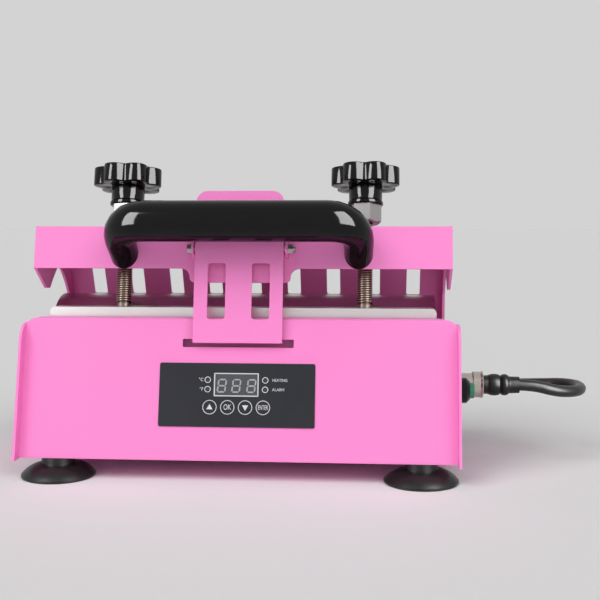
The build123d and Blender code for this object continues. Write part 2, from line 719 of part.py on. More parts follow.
# Hood: end cheeks with the notch over the tumbler bay and the leg down to the hinge
for name, start in (("hood_cheek_left", -HOOD_HALF), ("hood_cheek_right", CHEEK_IN)):
    with BuildPart() as cheek:
        with BuildSketch(side_plane(start)) as outline:
            with BuildLine():
                Polyline(
                    CHEEK_ARCH[-1], (HINGE_Y - 12.0, HINGE_Z), (HINGE_Y + 12.0, HINGE_Z), REAR_END,
                    (HOOD_REAR_Y, rear_top_z), (HOOD_TOP_Y, HOOD_TOP_Z), lip_end, CHEEK_TIP, CHEEK_ARCH[0],
                )
                Spline(*CHEEK_ARCH)
            make_face()
            fillet(outline.vertices().sort_by_distance((CHEEK_TIP[0], CHEEK_TIP[1], 0))[0], 2.5)
            fillet(outline.vertices().sort_by_distance((HOOD_REAR_Y, rear_top_z, 0))[0], 2.6)
            with Locations((HINGE_Y, HINGE_Z)):
                Circle(12.0)
                Circle(HINGE_R + RUN_FIT, mode=Mode.SUBTRACT)
        extrude(amount=SIDE_SHEET)
    keep(name, cheek.part)

# Hood: handle, its screws, the screw nuts
HANDLE_X = 89.7
HANDLE_FOOT_Z = 168.4
HANDLE_BAR = (25.0, 192.5)
HANDLE_FOOT_Y = HOOD_TOP_Y - (HOOD_TOP_Z - HANDLE_FOOT_Z) * tilt_tan
handle_run = (HANDLE_BAR[0] - HANDLE_FOOT_Y, HANDLE_BAR[1] - HANDLE_FOOT_Z)
handle_len = math.hypot(*handle_run)
handle_dir = Vector(0, handle_run[0] / handle_len, handle_run[1] / handle_len)
BEND_R = 22.0
GRIP_R = 15.25
LEG_R = 11.0
foot_point = Vector(0, HANDLE_FOOT_Y, HANDLE_FOOT_Z)


def handle_point(x, t):
    """Point in the handle's own plane, t along its legs from the lip."""
    return Vector(x, 0, 0) + foot_point + handle_dir * t


with BuildPart() as handle:
    for side in (-1, 1):
        stations = [(-8.0, LEG_R), (6.0, LEG_R + 0.2), (handle_len - BEND_R, LEG_R + 1.2)]
        for t, radius in stations:
            with BuildSketch(Plane(origin=handle_point(side * HANDLE_X, t), x_dir=(1, 0, 0), z_dir=handle_dir)):
                Circle(radius)
        for turn, radius in ((30, LEG_R + 2.4), (60, GRIP_R - 0.6), (90, GRIP_R)):
            angle = math.radians(turn)
            x = HANDLE_X - BEND_R * (1 - math.cos(angle))
            t = handle_len - BEND_R + BEND_R * math.sin(angle)
            ahead = Vector(-side * math.sin(angle), 0, 0) + handle_dir * math.cos(angle)
            across = Vector(math.cos(angle), 0, 0) + handle_dir * (side * math.sin(angle))
            with BuildSketch(Plane(origin=handle_point(side * x, t), x_dir=across, z_dir=ahead)):
                Circle(radius)
        loft()
    bar_half = HANDLE_X - BEND_R
    with BuildSketch(Plane(origin=handle_point(-bar_half, handle_len), x_dir=(0, 1, 0), z_dir=(1, 0, 0))):
        Circle(GRIP_R)
    extrude(amount=2 * bar_half)
    with BuildSketch(lip_plane(HANDLE_FOOT_Z)):
        Rectangle(240, 60)
    extrude(amount=-30, mode=Mode.SUBTRACT)
    with BuildSketch(lip_plane(HANDLE_FOOT_Z)):
        with Locations((-HANDLE_X, 0), (HANDLE_X, 0)):
            Circle(3.0)
    extrude(amount=14, mode=Mode.SUBTRACT)
keep("handle", handle.part)

with BuildPart() as handle_screws:
    with BuildSketch(lip_plane(HANDLE_FOOT_Z).offset(-SHEET)):
        with Locations((-HANDLE_X, 0), (HANDLE_X, 0)):
            Circle(6.0)
    extrude(amount=-3.4)
    with BuildSketch(lip_plane(HANDLE_FOOT_Z).offset(-SHEET)):
        with Locations((-HANDLE_X, 0), (HANDLE_X, 0)):
            Circle(2.95)
    extrude(amount=14.0)
keep("handle_screws", handle_screws.part)

with BuildPart() as rod_nuts:
    for side in (-1, 1):
        with BuildSketch(axis_plane(side * ROD_X, PLATE_S)):
            RegularPolygon(11.0, 6)
            Circle(ROD_R + RUN_FIT, mode=Mode.SUBTRACT)
        extrude(amount=-11.6)
keep("rod_nuts", rod_nuts.part)

# Screws: threaded rod, jam nut and star knob on each side
knob_phase = {"left": 30.2, "right": 23.1}
for name, side in (("left", -1), ("right", 1)):
    x = side * ROD_X
    with BuildPart() as rod:
        with BuildSketch(axis_plane(x, -12.0)):
            Circle(ROD_R)
        extrude(amount=-(ROD_DROP - 12.0))
        chamfer(rod.edges().filter_by(GeomType.CIRCLE).sort_by(Axis.Z)[0], ROD_CHAMFER)
        with BuildSketch(axis_plane(x, -ROD_DROP)):
            Circle(SPIGOT_R)
        extrude(amount=-SPIGOT_LEN)
    keep("rod_" + name, rod.part)
    with BuildPart() as jam_nut:
        with BuildSketch(axis_plane(x, -HUB_DROP)):
            RegularPolygon(JAM_R, 6, rotation=-13)
        extrude(amount=-(JAM_DROP - HUB_DROP))
        with BuildSketch(screw_side(x)):
            with BuildLine():
                Polyline(
                    [
                        (0, -HUB_DROP), (JAM_R + 0.1, -HUB_DROP), (JAM_R + 0.1, -JAM_DROP + 1.6),
                        (JAM_R - 2.2, -JAM_DROP), (0, -JAM_DROP),
                    ],
                    close=True,
                )
            make_face()
        revolve(axis=Axis((x, KNOB_Y, KNOB_Z), (0, tilt_sin, tilt_cos)), mode=Mode.INTERSECT)
        with BuildSketch(axis_plane(x, -HUB_DROP)):
            Circle(ROD_R + 0.03)
        extrude(amount=-(JAM_DROP - HUB_DROP), mode=Mode.SUBTRACT)
    keep("jam_nut_" + name, jam_nut.part)
    with BuildPart() as knob:
        with BuildSketch(axis_plane(x, -KNOB_HALF_T)):
            Circle(20.0)
            with PolarLocations(19.6, LOBES, start_angle=-90 + knob_phase[name]):
                Circle(7.4)
        extrude(amount=2 * KNOB_HALF_T)
        rims = knob.faces().filter_by(axis_plane(x, 0)).edges()
        chamfer(rims, 1.2)
        with BuildSketch(axis_plane(x, -KNOB_HALF_T + 2.0)):
            Circle(HUB_R)
        extrude(amount=-(HUB_DROP - KNOB_HALF_T + 2.0))
        with BuildSketch(axis_plane(x, -HUB_DROP)):
            Circle(ROD_R + 0.03)
        extrude(amount=HUB_DROP - 12.0, mode=Mode.SUBTRACT)
    keep("knob_" + name, knob.part)

# Upper heater: polished shell, felt pad, heating mat and the front pressure bar
with BuildPart() as upper_shell:
    with BuildSketch(side_plane(-BAY_HALF)):
        with Locations((BAY_Y, BAY_Z)):
            Circle(SHELL_R)
            Circle(SHELL_R - SHELL_T, mode=Mode.SUBTRACT)
            with Locations((0, SPLIT_Z - BAY_Z - 25)):
                Rectangle(100, 50, mode=Mode.SUBTRACT)
    extrude(amount=2 * BAY_HALF)
    for side in (-1, 1):
        with BuildSketch(axis_plane(side * ROD_X, -ROD_DROP - 0.15)):
            Circle(ROD_R + ROD_CLEAR)
        extrude(amount=12, mode=Mode.SUBTRACT)
        with BuildSketch(axis_plane(side * ROD_X, -ROD_DROP)):
            Circle(SPIGOT_R + RUN_FIT)
        extrude(amount=-SPIGOT_LEN - 0.2, mode=Mode.SUBTRACT)
keep("upper_shell", upper_shell.part)

for name, outer_r, inner_r in (
    ("upper_felt_pad", PAD_OUT_R, PAD_IN_R),
    ("upper_heating_mat", MAT_OUT_R, MAT_IN_R),
):
    with BuildPart() as lining:
        with BuildSketch(side_plane(-BAY_HALF + 0.4)):
            with Locations((BAY_Y, BAY_Z)):
                Circle(outer_r)
                Circle(inner_r, mode=Mode.SUBTRACT)
                with Locations((0, SPLIT_Z - BAY_Z - 24.8)):
                    Rectangle(100, 50, mode=Mode.SUBTRACT)
        extrude(amount=2 * BAY_HALF - 0.8)
    keep(name, lining.part)

BAR_FRONT_Y = BAY_Y - SHELL_R + 1.5
BAR_TOP_Z = BAY_Z + SHELL_R - 7.8
BAR_BACK_Y = BAR_FRONT_Y + 16.5
with BuildPart() as pressure_bar:
    with BuildSketch(side_plane(-BAY_HALF)):
        with BuildLine():
            Polyline(
                [
                    (BAR_FRONT_Y, SPLIT_Z), (BAR_FRONT_Y, BAR_TOP_Z),
                    (BAR_BACK_Y, BAR_TOP_Z), (BAR_BACK_Y, SPLIT_Z),
                ],
                close=True,
            )
        make_face()
        with Locations((BAY_Y, BAY_Z)):
            Circle(SHELL_R + 0.05, mode=Mode.SUBTRACT)
    extrude(amount=2 * BAY_HALF)
    with BuildSketch(Plane(origin=(0, BAR_FRONT_Y, BAR_TOP_Z), x_dir=(1, 0, 0), z_dir=(0, -1, 0))):
        for side in (-1, 1):
            with Locations((side * (BAY_HALF - 1.9), -1.9)):
                Rectangle(3.8, 3.8)
            with Locations((side * (BAY_HALF - 3.8), -3.8)):
                Circle(3.8, mode=Mode.SUBTRACT)
    extrude(amount=-20, mode=Mode.SUBTRACT)
keep("pressure_bar", pressure_bar.part)

with BuildPart() as rod_seats:
    for side in (-1, 1):
        with BuildSketch(axis_plane(side * ROD_X, -ROD_DROP - 0.05)):
            Circle(SEAT_R)
        extrude(amount=-12.0)
    with BuildSketch(side_plane(-BAY_HALF)):
        with Locations((BAY_Y, BAY_Z)):
            Circle(SHELL_R + 0.02)
        with Locations(((BAR_FRONT_Y + BAR_BACK_Y) / 2, BAR_TOP_Z - 10)):
            Rectangle(BAR_BACK_Y - BAR_FRONT_Y, 20)
    extrude(amount=2 * BAY_HALF, mode=Mode.SUBTRACT)
    for side in (-1, 1):
        with BuildSketch(axis_plane(side * ROD_X, -ROD_DROP)):
            Circle(SPIGOT_R + RUN_FIT)
        extrude(amount=-SPIGOT_LEN - 0.2, mode=Mode.SUBTRACT)
keep("rod_seats", rod_seats.part)

# Latch: bracket on the lip, bolt, nut and the sprung strap
with BuildPart() as latch_bracket:
    with BuildSketch(lip_plane(PIVOT_Z)):
        Rectangle(73.0, 18.0)
        Rectangle(68.6, 10.0, mode=Mode.SUBTRACT)
    extrude(amount=1.2)
    for side in (-1, 1):
        with BuildSketch(side_plane(side * 36.5)):
            with BuildLine():
                top_y = HOOD_TOP_Y - (HOOD_TOP_Z - PIVOT_Z - 8.0) * tilt_tan
                low_y = HOOD_TOP_Y - (HOOD_TOP_Z - PIVOT_Z + 8.0) * tilt_tan
                Polyline(
                    [(top_y, PIVOT_Z + 8.0), (PIVOT_Y, PIVOT_Z + 5.0), (PIVOT_Y, PIVOT_Z - 5.0), (low_y, PIVOT_Z - 8.0)],
                    close=True,
                )
            make_face()
            with Locations((PIVOT_Y, PIVOT_Z)):
                Circle(5.0)
                Circle(2.6, mode=Mode.SUBTRACT)
        extrude(amount=-side * 1.8)
    with BuildSketch(side_plane(-40.0)):
        with Locations((PIVOT_Y, PIVOT_Z)):
            Circle(2.6)
    extrude(amount=80.0, mode=Mode.SUBTRACT)
    with BuildSketch(lip_plane(PIVOT_Z)):
        Rectangle(120, 60)
    extrude(amount=-10, mode=Mode.SUBTRACT)
keep("latch_bracket", latch_bracket.part)

with BuildPart() as latch_bolt:
    with BuildSketch(side_plane(-36.5)):
        with Locations((PIVOT_Y, PIVOT_Z)):
            Circle(2.5)
    extrude(amount=78.5)
    with BuildSketch(side_plane(-36.5)):
        with Locations((PIVOT_Y, PIVOT_Z)):
            RegularPolygon(3.9, 6)
    extrude(amount=-3.4)
keep("latch_bolt", latch_bolt.part)

with BuildPart() as latch_nut:
    with BuildSketch(side_plane(36.5)):
        with Locations((PIVOT_Y, PIVOT_Z)):
            RegularPolygon(3.9, 6)
            Circle(2.52, mode=Mode.SUBTRACT)
    extrude(amount=4.0)
keep("latch_nut", latch_nut.part)

# How far the strap's nose reaches back so that it stops just short of the panel's face
swing = math.radians(STRAP_CLOSED + STRAP_SWUNG)
nose_mid_z = PIVOT_Z - STRAP_DOWN * math.cos(swing) + 0.5
nose_reach = (face_y(nose_mid_z) - NOSE_GAP - PIVOT_Y + STRAP_DOWN * math.sin(swing)) / math.cos(swing)
nose_reach = nose_reach - 0.3

# The strap is built hanging at its closed lean, then swung forward about its bolt
with BuildPart() as latch_strap:
    strap_plane = Plane(origin=(0, -STRAP_FACE, 0), x_dir=(1, 0, 0), z_dir=(0, -1, 0))
    with BuildSketch(strap_plane) as strap_face:
        with Locations((0, (STRAP_UP - STRAP_DOWN) / 2)):
            Rectangle(2 * STRAP_HALF, STRAP_UP + STRAP_DOWN)
        with Locations((0, STRAP_UP - 9.0)):
            Rectangle(2 * STRAP_HALF, 18.0, mode=Mode.SUBTRACT)
            RectangleRounded(2 * STRAP_HALF, 18.0 - 0.01, 8.99)
            with Locations((0, -4.5)):
                Rectangle(2 * STRAP_HALF, 9.0)
        for window_x in (-16.5, 16.9):
            with Locations((window_x, -33.0)):
                RectangleRounded(13.6, 42.4, 2.6, mode=Mode.SUBTRACT)
    extrude(amount=-STRAP_T)
    with BuildSketch(side_plane(-STRAP_HALF)):
        with BuildLine():
            Polyline(
                [
                    (-STRAP_FACE, -STRAP_DOWN), (nose_reach, -STRAP_DOWN),
                    (nose_reach, -STRAP_DOWN + 1.0), (-STRAP_FACE, -STRAP_DOWN + 1.2),
                ],
                close=True,
            )
        make_face()
    extrude(amount=2 * STRAP_HALF)
    for side in (-1, 1):
        with BuildSketch(side_plane(side * STRAP_HALF)):
            with BuildLine():
                Polyline((0.9, -EAR_BACK), (-1.2, -8.8), (-STRAP_FACE, -8.8), (-STRAP_FACE, STRAP_UP - 9.0))
                Polyline((-STRAP_FACE, STRAP_UP - 9.0), (-1.0, 30.0), (-0.4, 9.0), (0.9, EAR_BACK))
                ThreePointArc((0.9, EAR_BACK), (math.hypot(0.9, EAR_BACK), 0), (0.9, -EAR_BACK))
            make_face()
            Circle(2.5 + RUN_FIT, mode=Mode.SUBTRACT)
        extrude(amount=-side * STRAP_T)
strap_swing = Rotation(-(STRAP_CLOSED + STRAP_SWUNG), 0, 0)
keep("latch_strap", Location((0, PIVOT_Y, PIVOT_Z)) * strap_swing * latch_strap.part)

# Common shift: origin at the bottom centre of everything but the free lead and its plug
cord_names = ("heater_lead", "plug_ring", "plug_boot")
boxes = [part.bounding_box() for name, part in nodes.items() if name not in cord_names]
mid_x = (min(b.min.X for b in boxes) + max(b.max.X for b in boxes)) / 2
mid_y = (min(b.min.Y for b in boxes) + max(b.max.Y for b in boxes)) / 2
low_z = min(b.min.Z for b in boxes)
shift = Location((-mid_x, -mid_y, -low_z))
print("shift", round(-mid_x, 4), round(-mid_y, 4), round(-low_z, 4))
for name, part in nodes.items():
    placed = part.moved(shift)
    placed.label = name
    export_step(placed, f"parts/{name}.step")
print("nodes", len(nodes))
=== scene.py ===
import contextlib
import itertools
import math

import bpy
from bpy.props import FloatProperty, FloatVectorProperty, IntProperty, PointerProperty
from mathutils import Matrix, Vector


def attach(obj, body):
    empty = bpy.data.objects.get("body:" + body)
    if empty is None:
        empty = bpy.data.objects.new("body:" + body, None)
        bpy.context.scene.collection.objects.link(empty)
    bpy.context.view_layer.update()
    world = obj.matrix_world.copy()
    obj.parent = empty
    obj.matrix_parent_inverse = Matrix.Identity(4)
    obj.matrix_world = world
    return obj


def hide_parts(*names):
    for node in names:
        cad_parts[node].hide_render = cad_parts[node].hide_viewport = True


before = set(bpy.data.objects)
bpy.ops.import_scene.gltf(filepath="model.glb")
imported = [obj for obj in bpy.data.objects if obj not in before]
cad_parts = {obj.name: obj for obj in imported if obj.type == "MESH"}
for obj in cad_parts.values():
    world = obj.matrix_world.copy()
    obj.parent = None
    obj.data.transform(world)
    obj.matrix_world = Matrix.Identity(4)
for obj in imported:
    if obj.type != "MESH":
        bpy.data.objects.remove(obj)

bl_info = {
    "name": "Tumbler heat press",
    "version": (1, 0, 0),
    "blender": (4, 5, 0),
    "location": "3D View > Sidebar > Press",
    "description": "Finishes, printed panel, threads, handle, pads and lead of a tumbler heat press",
    "category": "Object",
}

MM = 0.001
# The part's origin in the machine's own sizes, in millimetres, as the part's source shifts it
SHIFT = Vector((-5.1, -94.5, 0.0))
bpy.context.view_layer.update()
RIGHT = Vector((1, 0, 0))
# How far the front panel leans and the screws tilt
PANEL_LEAN = math.radians(13.0)
SCREW_TILT = math.radians(12.5)


def place(x, y, z):
    """A point of the machine, given in millimetres, in metres in the part's frame."""
    return (Vector((x, y, z)) + SHIFT) * MM


def standing(up, out, origin):
    """A frame at a point in metres: x to the right, y along up, z along out."""
    matrix = Matrix((RIGHT, up, out)).transposed().to_4x4()
    matrix.translation = origin
    return matrix


# Selection and placing


def clear_selection():
    """Leave nothing selected and nothing in edit mode."""
    if bpy.context.object and bpy.context.object.mode != "OBJECT":
        bpy.ops.object.mode_set(mode="OBJECT")
    bpy.ops.object.select_all(action="DESELECT")


def only(*pieces):
    """Select these pieces alone, the first of them active."""
    clear_selection()
    for piece in pieces:
        piece.select_set(True)
    bpy.context.view_layer.objects.active = pieces[0]


def settle(piece, matrix=None):
    """Move a piece by a matrix and put its place into its mesh."""
    only(piece)
    if matrix is not None:
        piece.matrix_world = matrix @ piece.matrix_world
    bpy.ops.object.transform_apply(location=True, rotation=True, scale=True)
    return piece


@contextlib.contextmanager
def editing(action="SELECT"):
    """Edit the active mesh with all or none of it selected."""
    bpy.ops.object.mode_set(mode="EDIT")
    bpy.ops.mesh.select_all(action=action)
    yield
    bpy.ops.object.mode_set(mode="OBJECT")


def tidy_mesh(merge=None):
    """Turn the normals outward, after merging points that lie closer than merge."""
    bpy.ops.mesh.select_all(action="SELECT")
    if merge:
        bpy.ops.mesh.remove_doubles(threshold=merge)
    bpy.ops.mesh.normals_make_consistent(inside=False)


def modified(piece, modifier):
    """Apply a modifier to its piece."""
    only(piece)
    bpy.ops.object.modifier_apply(modifier=modifier.name)


def named(name):
    """Name the active object and its data."""
    piece = bpy.context.object
    piece.name = name
    piece.data.name = name
    return piece


def joined(name, pieces):
    """Join several meshes into one piece."""
    only(*pieces)
    bpy.ops.object.join()
    return named(name)


def box_lit(piece, material):
    """Let the tall boxes show at full strength in the gloss of a black moulding."""
    if material in [SHOP[name] for name in BOX_LIT]:
        bpy.data.collections["box_lit"].objects.link(piece)


def finished(piece, body, material, replaced=(), smooth=32):
    """Give a piece its finish, its body and the CAD node it stands for."""
    only(piece)
    if piece.type == "MESH":
        bpy.ops.object.shade_smooth_by_angle(angle=math.radians(smooth))
    piece.data.materials.clear()
    piece.data.materials.append(material)
    box_lit(piece, material)
    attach(piece, body)
    if replaced:
        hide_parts(*replaced)


# Materials


class Amount:
    """A shader socket that can stand in a written sum."""

    def __init__(self, finish, socket):
        self.finish = finish
        self.socket = socket

    def sum_node(self, operation, first, second=None):
        inputs = {0: first} if second is None else {0: first, 1: second}
        return Amount(self.finish, self.finish.add("ShaderNodeMath", inputs, operation=operation).outputs[0])

    def __add__(self, other):
        return self.sum_node("ADD", self, other)

    def __sub__(self, other):
        return self.sum_node("SUBTRACT", self, other)

    def __mul__(self, other):
        return self.sum_node("MULTIPLY", self, other)

    def __gt__(self, other):
        return self.sum_node("GREATER_THAN", self, other)

    def sine(self):
        return self.sum_node("SINE", self)

    def absolute(self):
        return self.sum_node("ABSOLUTE", self)


class Tree:
    """The nodes of a material or of the world."""

    def __init__(self, owner):
        owner.use_nodes = True
        self.tree = owner.node_tree
        self.tree.nodes.clear()

    def add(self, kind, inputs=None, **settings):
        """Add a node with its settings, then its values or links."""
        node = self.tree.nodes.new(kind)
        for label, value in settings.items():
            setattr(node, label, value)
        for label, value in (inputs or {}).items():
            if isinstance(value, Amount):
                self.tree.links.new(value.socket, node.inputs[label])
            elif isinstance(value, bpy.types.NodeSocket):
                self.tree.links.new(value, node.inputs[label])
            else:
                node.inputs[label].default_value = value
        return node


class Finish(Tree):
    """A node material built from written sums."""

    def __init__(self, name, **constants):
        self.material = bpy.data.materials.new(name)
        super().__init__(self.material)
        constants = {label.replace("_", " "): value for label, value in constants.items()}
        self.shader = self.add("ShaderNodeBsdfPrincipled", constants)
        self.add("ShaderNodeOutputMaterial", {0: self.shader.outputs[0]})

    def spots(self, scale=(1, 1, 1)):
        """Object coordinates, stretched."""
        source = self.add("ShaderNodeTexCoord").outputs["Object"]
        return self.add("ShaderNodeMapping", {"Vector": source, "Scale": scale}).outputs[0]

    def noise(self, scale, detail=3.0, rough=0.55, vector=None):
        """Cloudy noise from 0 to 1."""
        inputs = {"Vector": vector or self.spots(), "Scale": scale, "Detail": detail, "Roughness": rough}
        return Amount(self, self.add("ShaderNodeTexNoise", inputs).outputs[0])

    def between(self, amount, low, high):
        """Spread an amount of 0 to 1 between two values."""
        return amount * (high - low) + low

    def colours(self, amount, first, second):
        """Mix two colours by an amount."""
        inputs = {0: amount, 6: (*first, 1), 7: (*second, 1)}
        return self.add("ShaderNodeMix", inputs, data_type="RGBA").outputs[2]

    def use(self, label, value):
        """Feed the shader's socket."""
        socket = value.socket if isinstance(value, Amount) else value
        self.tree.links.new(socket, self.shader.inputs[label])

    def bump(self, height, strength, distance):
        """Raise the surface by an amount."""
        inputs = {"Height": height, "Strength": strength, "Distance": distance}
        self.use("Normal", self.add("ShaderNodeBump", inputs).outputs[0])


def shade(colour, factor):
    """A colour made darker or lighter."""
    return tuple(min(1.0, c * factor) for c in colour)


def pink_paint(colour):
    """Smooth powder paint with faint orange peel."""
    finish = Finish("pink_powder_paint", IOR=1.33)
    cloud = finish.noise(9.0, 2.0)
    finish.use("Base Color", finish.colours(cloud, shade(colour, 0.98), shade(colour, 1.01)))
    finish.use("Roughness", finish.between(finish.noise(60.0, 4.0), 0.42, 0.52))
    finish.bump(finish.noise(900.0, 2.0), 0.06, 0.0004)
    return finish.material


def brushed_metal(name, colour, rough, along, grain=0.06, depth=0.12):
    """Metal with fine lines, which run where along, the scale in x, y and z, is smallest."""
    finish = Finish(name, Metallic=1.0)
    lines = finish.noise(1.0, 5.0, 0.7, finish.spots(along))
    cloud = finish.noise(35.0, 3.0)
    finish.use("Base Color", finish.colours(lines, shade(colour, 0.9), colour))
    finish.use("Roughness", lines * grain + finish.between(cloud, rough - 0.03, rough + 0.03))
    finish.bump(lines, depth, 0.0002)
    return finish.material


def thread_metal(crest, groove):
    """Bright crests over grooves darkened with painted shade."""
    finish = Finish("steel_thread_groove_shade", Metallic=1.0)
    # A flat face has a pointiness of a half, a crest more and a groove less
    sharp = Amount(finish, finish.add("ShaderNodeNewGeometry").outputs["Pointiness"])
    # Painted shade: the grooves take the dark groove colour and the crests the bright one
    groove_shade_mask = sharp * 9.0 - 4.1
    cloud = finish.noise(200.0, 4.0)
    finish.use("Base Color", finish.colours(groove_shade_mask, groove, crest))
    finish.use("Roughness", finish.between(cloud, 0.20, 0.30))
    finish.bump(cloud, 0.05, 0.0002)
    return finish.material


def moulded(name, colour, rough, peel, depth, bend):
    """Moulded plastic or rubber, with the scale and depth of its grain and its refractive index."""
    finish = Finish(name, IOR=bend)
    cloud = finish.noise(24.0, 3.0)
    finish.use("Base Color", finish.colours(cloud, shade(colour, 0.8), shade(colour, 1.25)))
    finish.use("Roughness", finish.between(finish.noise(110.0, 4.0), rough * 0.85, rough * 1.15))
    finish.bump(finish.noise(peel, 2.0), depth, 0.0003)
    return finish.material


def plain_ink(name, colour):
    """Screen print with slightly uneven cover."""
    finish = Finish(name)
    cover = finish.noise(500.0, 3.0)
    finish.use("Base Color", finish.colours(cover, shade(colour, 0.9), colour))
    finish.use("Roughness", finish.between(cover, 0.44, 0.56))
    return finish.material


def felt_finish():
    """Pressed felt."""
    finish = Finish("pressed_felt", Sheen_Weight=0.4, Sheen_Roughness=0.5)
    fibres = finish.noise(1400.0, 6.0, 0.7)
    finish.use("Base Color", finish.colours(fibres, (0.50, 0.46, 0.40), (0.78, 0.74, 0.67)))
    finish.use("Roughness", finish.between(fibres, 0.85, 1.0))
    finish.bump(fibres, 0.5, 0.0006)
    return finish.material


def mat_finish():
    """Silicone rubber with the weave of its glass cloth and the wires under it."""
    finish = Finish("silicone_mat", IOR=1.43)
    across = finish.add("ShaderNodeSeparateXYZ", {0: finish.spots()}).outputs
    along = Amount(finish, across[0])
    turned = Amount(finish, across[2])
    weave = (along * 5200.0).sine() * (turned * 5200.0).sine()
    wires = (along * 420.0).sine().absolute()
    tone = finish.noise(60.0, 4.0)
    finish.use("Base Color", finish.colours(tone, (0.30, 0.035, 0.02), (0.42, 0.06, 0.035)))
    finish.use("Roughness", finish.between(tone, 0.42, 0.55))
    finish.bump(weave * 0.35 + wires * 0.65, 0.25, 0.0004)
    return finish.material


def board_finish():
    """Circuit board lacquer over copper tracks."""
    finish = Finish("board_lacquer", Coat_Weight=0.4)
    brick = finish.add("ShaderNodeTexBrick", {"Vector": finish.spots(), "Scale": 260.0}).outputs["Fac"]
    finish.use("Base Color", finish.colours(brick, (0.02, 0.16, 0.06), (0.05, 0.25, 0.10)))
    finish.use("Roughness", finish.between(finish.noise(300.0), 0.3, 0.45))
    return finish.material


def lens_finish(name, colour):
    """Clear or tinted lamp plastic."""
    finish = Finish(name, Coat_Weight=0.6)
    depth = finish.noise(300.0, 2.0)
    finish.use("Base Color", finish.colours(depth, shade(colour, 0.85), colour))
    finish.use("Roughness", finish.between(depth, 0.12, 0.22))
    return finish.material


def floor_finish(colour):
    """Pale matt studio floor that stays plain in the picture."""
    finish = Finish("studio_floor", Specular_IOR_Level=0.1)
    cloud = finish.noise(0.6, 2.0)
    finish.use("Base Color", finish.colours(cloud, shade(colour, 0.99), colour))
    finish.use("Roughness", finish.between(cloud, 0.85, 0.9))
    return finish.material


SHOP = {}
# The finishes in whose gloss the tall boxes show at full strength
BOX_LIT = ("handle", "black", "rubber", "jacket")


def make_finishes(settings):
    """Make every finish once."""
    flat = (300.0, 300.0, 60.0)
    SHOP.update(
        paint=pink_paint(settings.paint),
        satin=brushed_metal("satin_aluminium", (0.85, 0.84, 0.82), 0.34, (6.0, 900.0, 900.0)),
        mirror=brushed_metal("polished_steel", (0.52, 0.57, 0.51), 0.15, (8.0, 3500.0, 3500.0), 0.05, 0.55),
        zinc=brushed_metal("zinc_plate", (0.44, 0.43, 0.42), 0.27, flat),
        # The thread's second colour is painted shade for its grooves
        thread=thread_metal((0.60, 0.48, 0.42), (0.10, 0.07, 0.06)),
        seat=brushed_metal("oiled_steel_seat", (0.26, 0.20, 0.18), 0.30, flat),
        ring=brushed_metal("nickel_ring", (0.58, 0.52, 0.47), 0.20, flat),
        handle=moulded("gloss_black_grip", (0.003, 0.003, 0.003), 0.09, 420.0, 0.015, 1.31),
        black=moulded("black_knob_plastic", (0.003, 0.003, 0.003), 0.09, 800.0, 0.015, 1.33),
        rubber=moulded("black_rubber", (0.007, 0.006, 0.006), 0.36, 900.0, 0.12, 1.36),
        jacket=moulded("lead_jacket", (0.014, 0.013, 0.013), 0.34, 700.0, 0.12, 1.4),
        overlay=moulded("overlay_film", (0.024, 0.025, 0.031), 0.40, 1200.0, 0.03, 1.3),
        window=moulded("smoked_window", (0.075, 0.080, 0.088), 0.14, 200.0, 0.01, 1.4),
        nylon=moulded("white_nylon", (0.75, 0.75, 0.72), 0.5, 600.0, 0.05, 1.4),
        green=lens_finish("green_cap", (0.015, 0.22, 0.12)),
        lens=lens_finish("lamp_lens", (0.035, 0.035, 0.038)),
        print=plain_ink("white_print", (0.72, 0.74, 0.76)),
        digit=plain_ink("unlit_digit", (0.44, 0.46, 0.48)),
        felt=felt_finish(),
        mat=mat_finish(),
        board=board_finish(),
    )


def coat_nodes(finish, *nodes):
    """Put a finish on CAD nodes."""
    for node in nodes:
        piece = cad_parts[node]
        piece.data.materials.clear()
        piece.data.materials.append(SHOP[finish])
        box_lit(piece, SHOP[finish])


class PressSettings(bpy.types.PropertyGroup):
    """Colours and sizes that a user would change."""

    paint: FloatVectorProperty(
        name="Paint", description="Colour of the sheet metal", subtype="COLOR", default=(0.97, 0.27, 0.64),
        min=0, max=1,
    )
    floor: FloatVectorProperty(
        name="Floor", description="Colour of the studio floor", subtype="COLOR", default=(0.87, 0.87, 0.87),
        min=0, max=1,
    )
    surround: FloatProperty(
        name="Surround", description="Brightness seen behind the press", default=0.65, min=0, max=1
    )
    pitch: FloatProperty(
        name="Thread pitch", description="Pitch of both screws", default=0.00175, unit="LENGTH"
    )
    thread_steps: IntProperty(
        name="Thread steps", description="Faces round one turn of thread", default=20, min=8, max=48
    )
    lead_radius: FloatProperty(
        name="Lead radius", description="Radius of the free lead", default=0.0045, unit="LENGTH"
    )


class PressOperator:
    """Shared by all the operators of this file."""

    bl_options = {"REGISTER", "UNDO"}


# Each soft lamp's turn from the front to the right and its height, in degrees, and its strength
SOFT_LAMPS = (
    ("soft_left", -40, 43, 1.45), ("soft_right", 45, 40, 0.98), ("soft_top", 10, 80, 0.40),
    ("soft_low", 4, 12, 0.58),
)
SOFT_SPREAD = math.radians(38)
SOFT_REACH = 2.0
# Each tall box's place, width and height; the boxes show in gloss alone
BOX_LAMPS = (
    ("box_left", (-0.56, -0.60, 0.46), 0.34, 0.90),
    ("box_right", (0.82, -0.76, 0.80), 0.72, 1.55),
)
# How bright the boxes show in the gloss of the black mouldings, and in everything else
BOX_GLOW = (("moulded", 22.0), ("all", 2.4))
# The surround's strength as light
AMBIENT = 0.06
FLOOR_SIZE = 60.0
# The camera's place in the machine's millimetres, and how far the view drops and turns left
CAMERA_SPOT = (101.61, -700.90, 190.64)
CAMERA_DROP = 0.0762
CAMERA_TURN = 0.0744
CAMERA_LENS, CAMERA_SENSOR = 60, 36


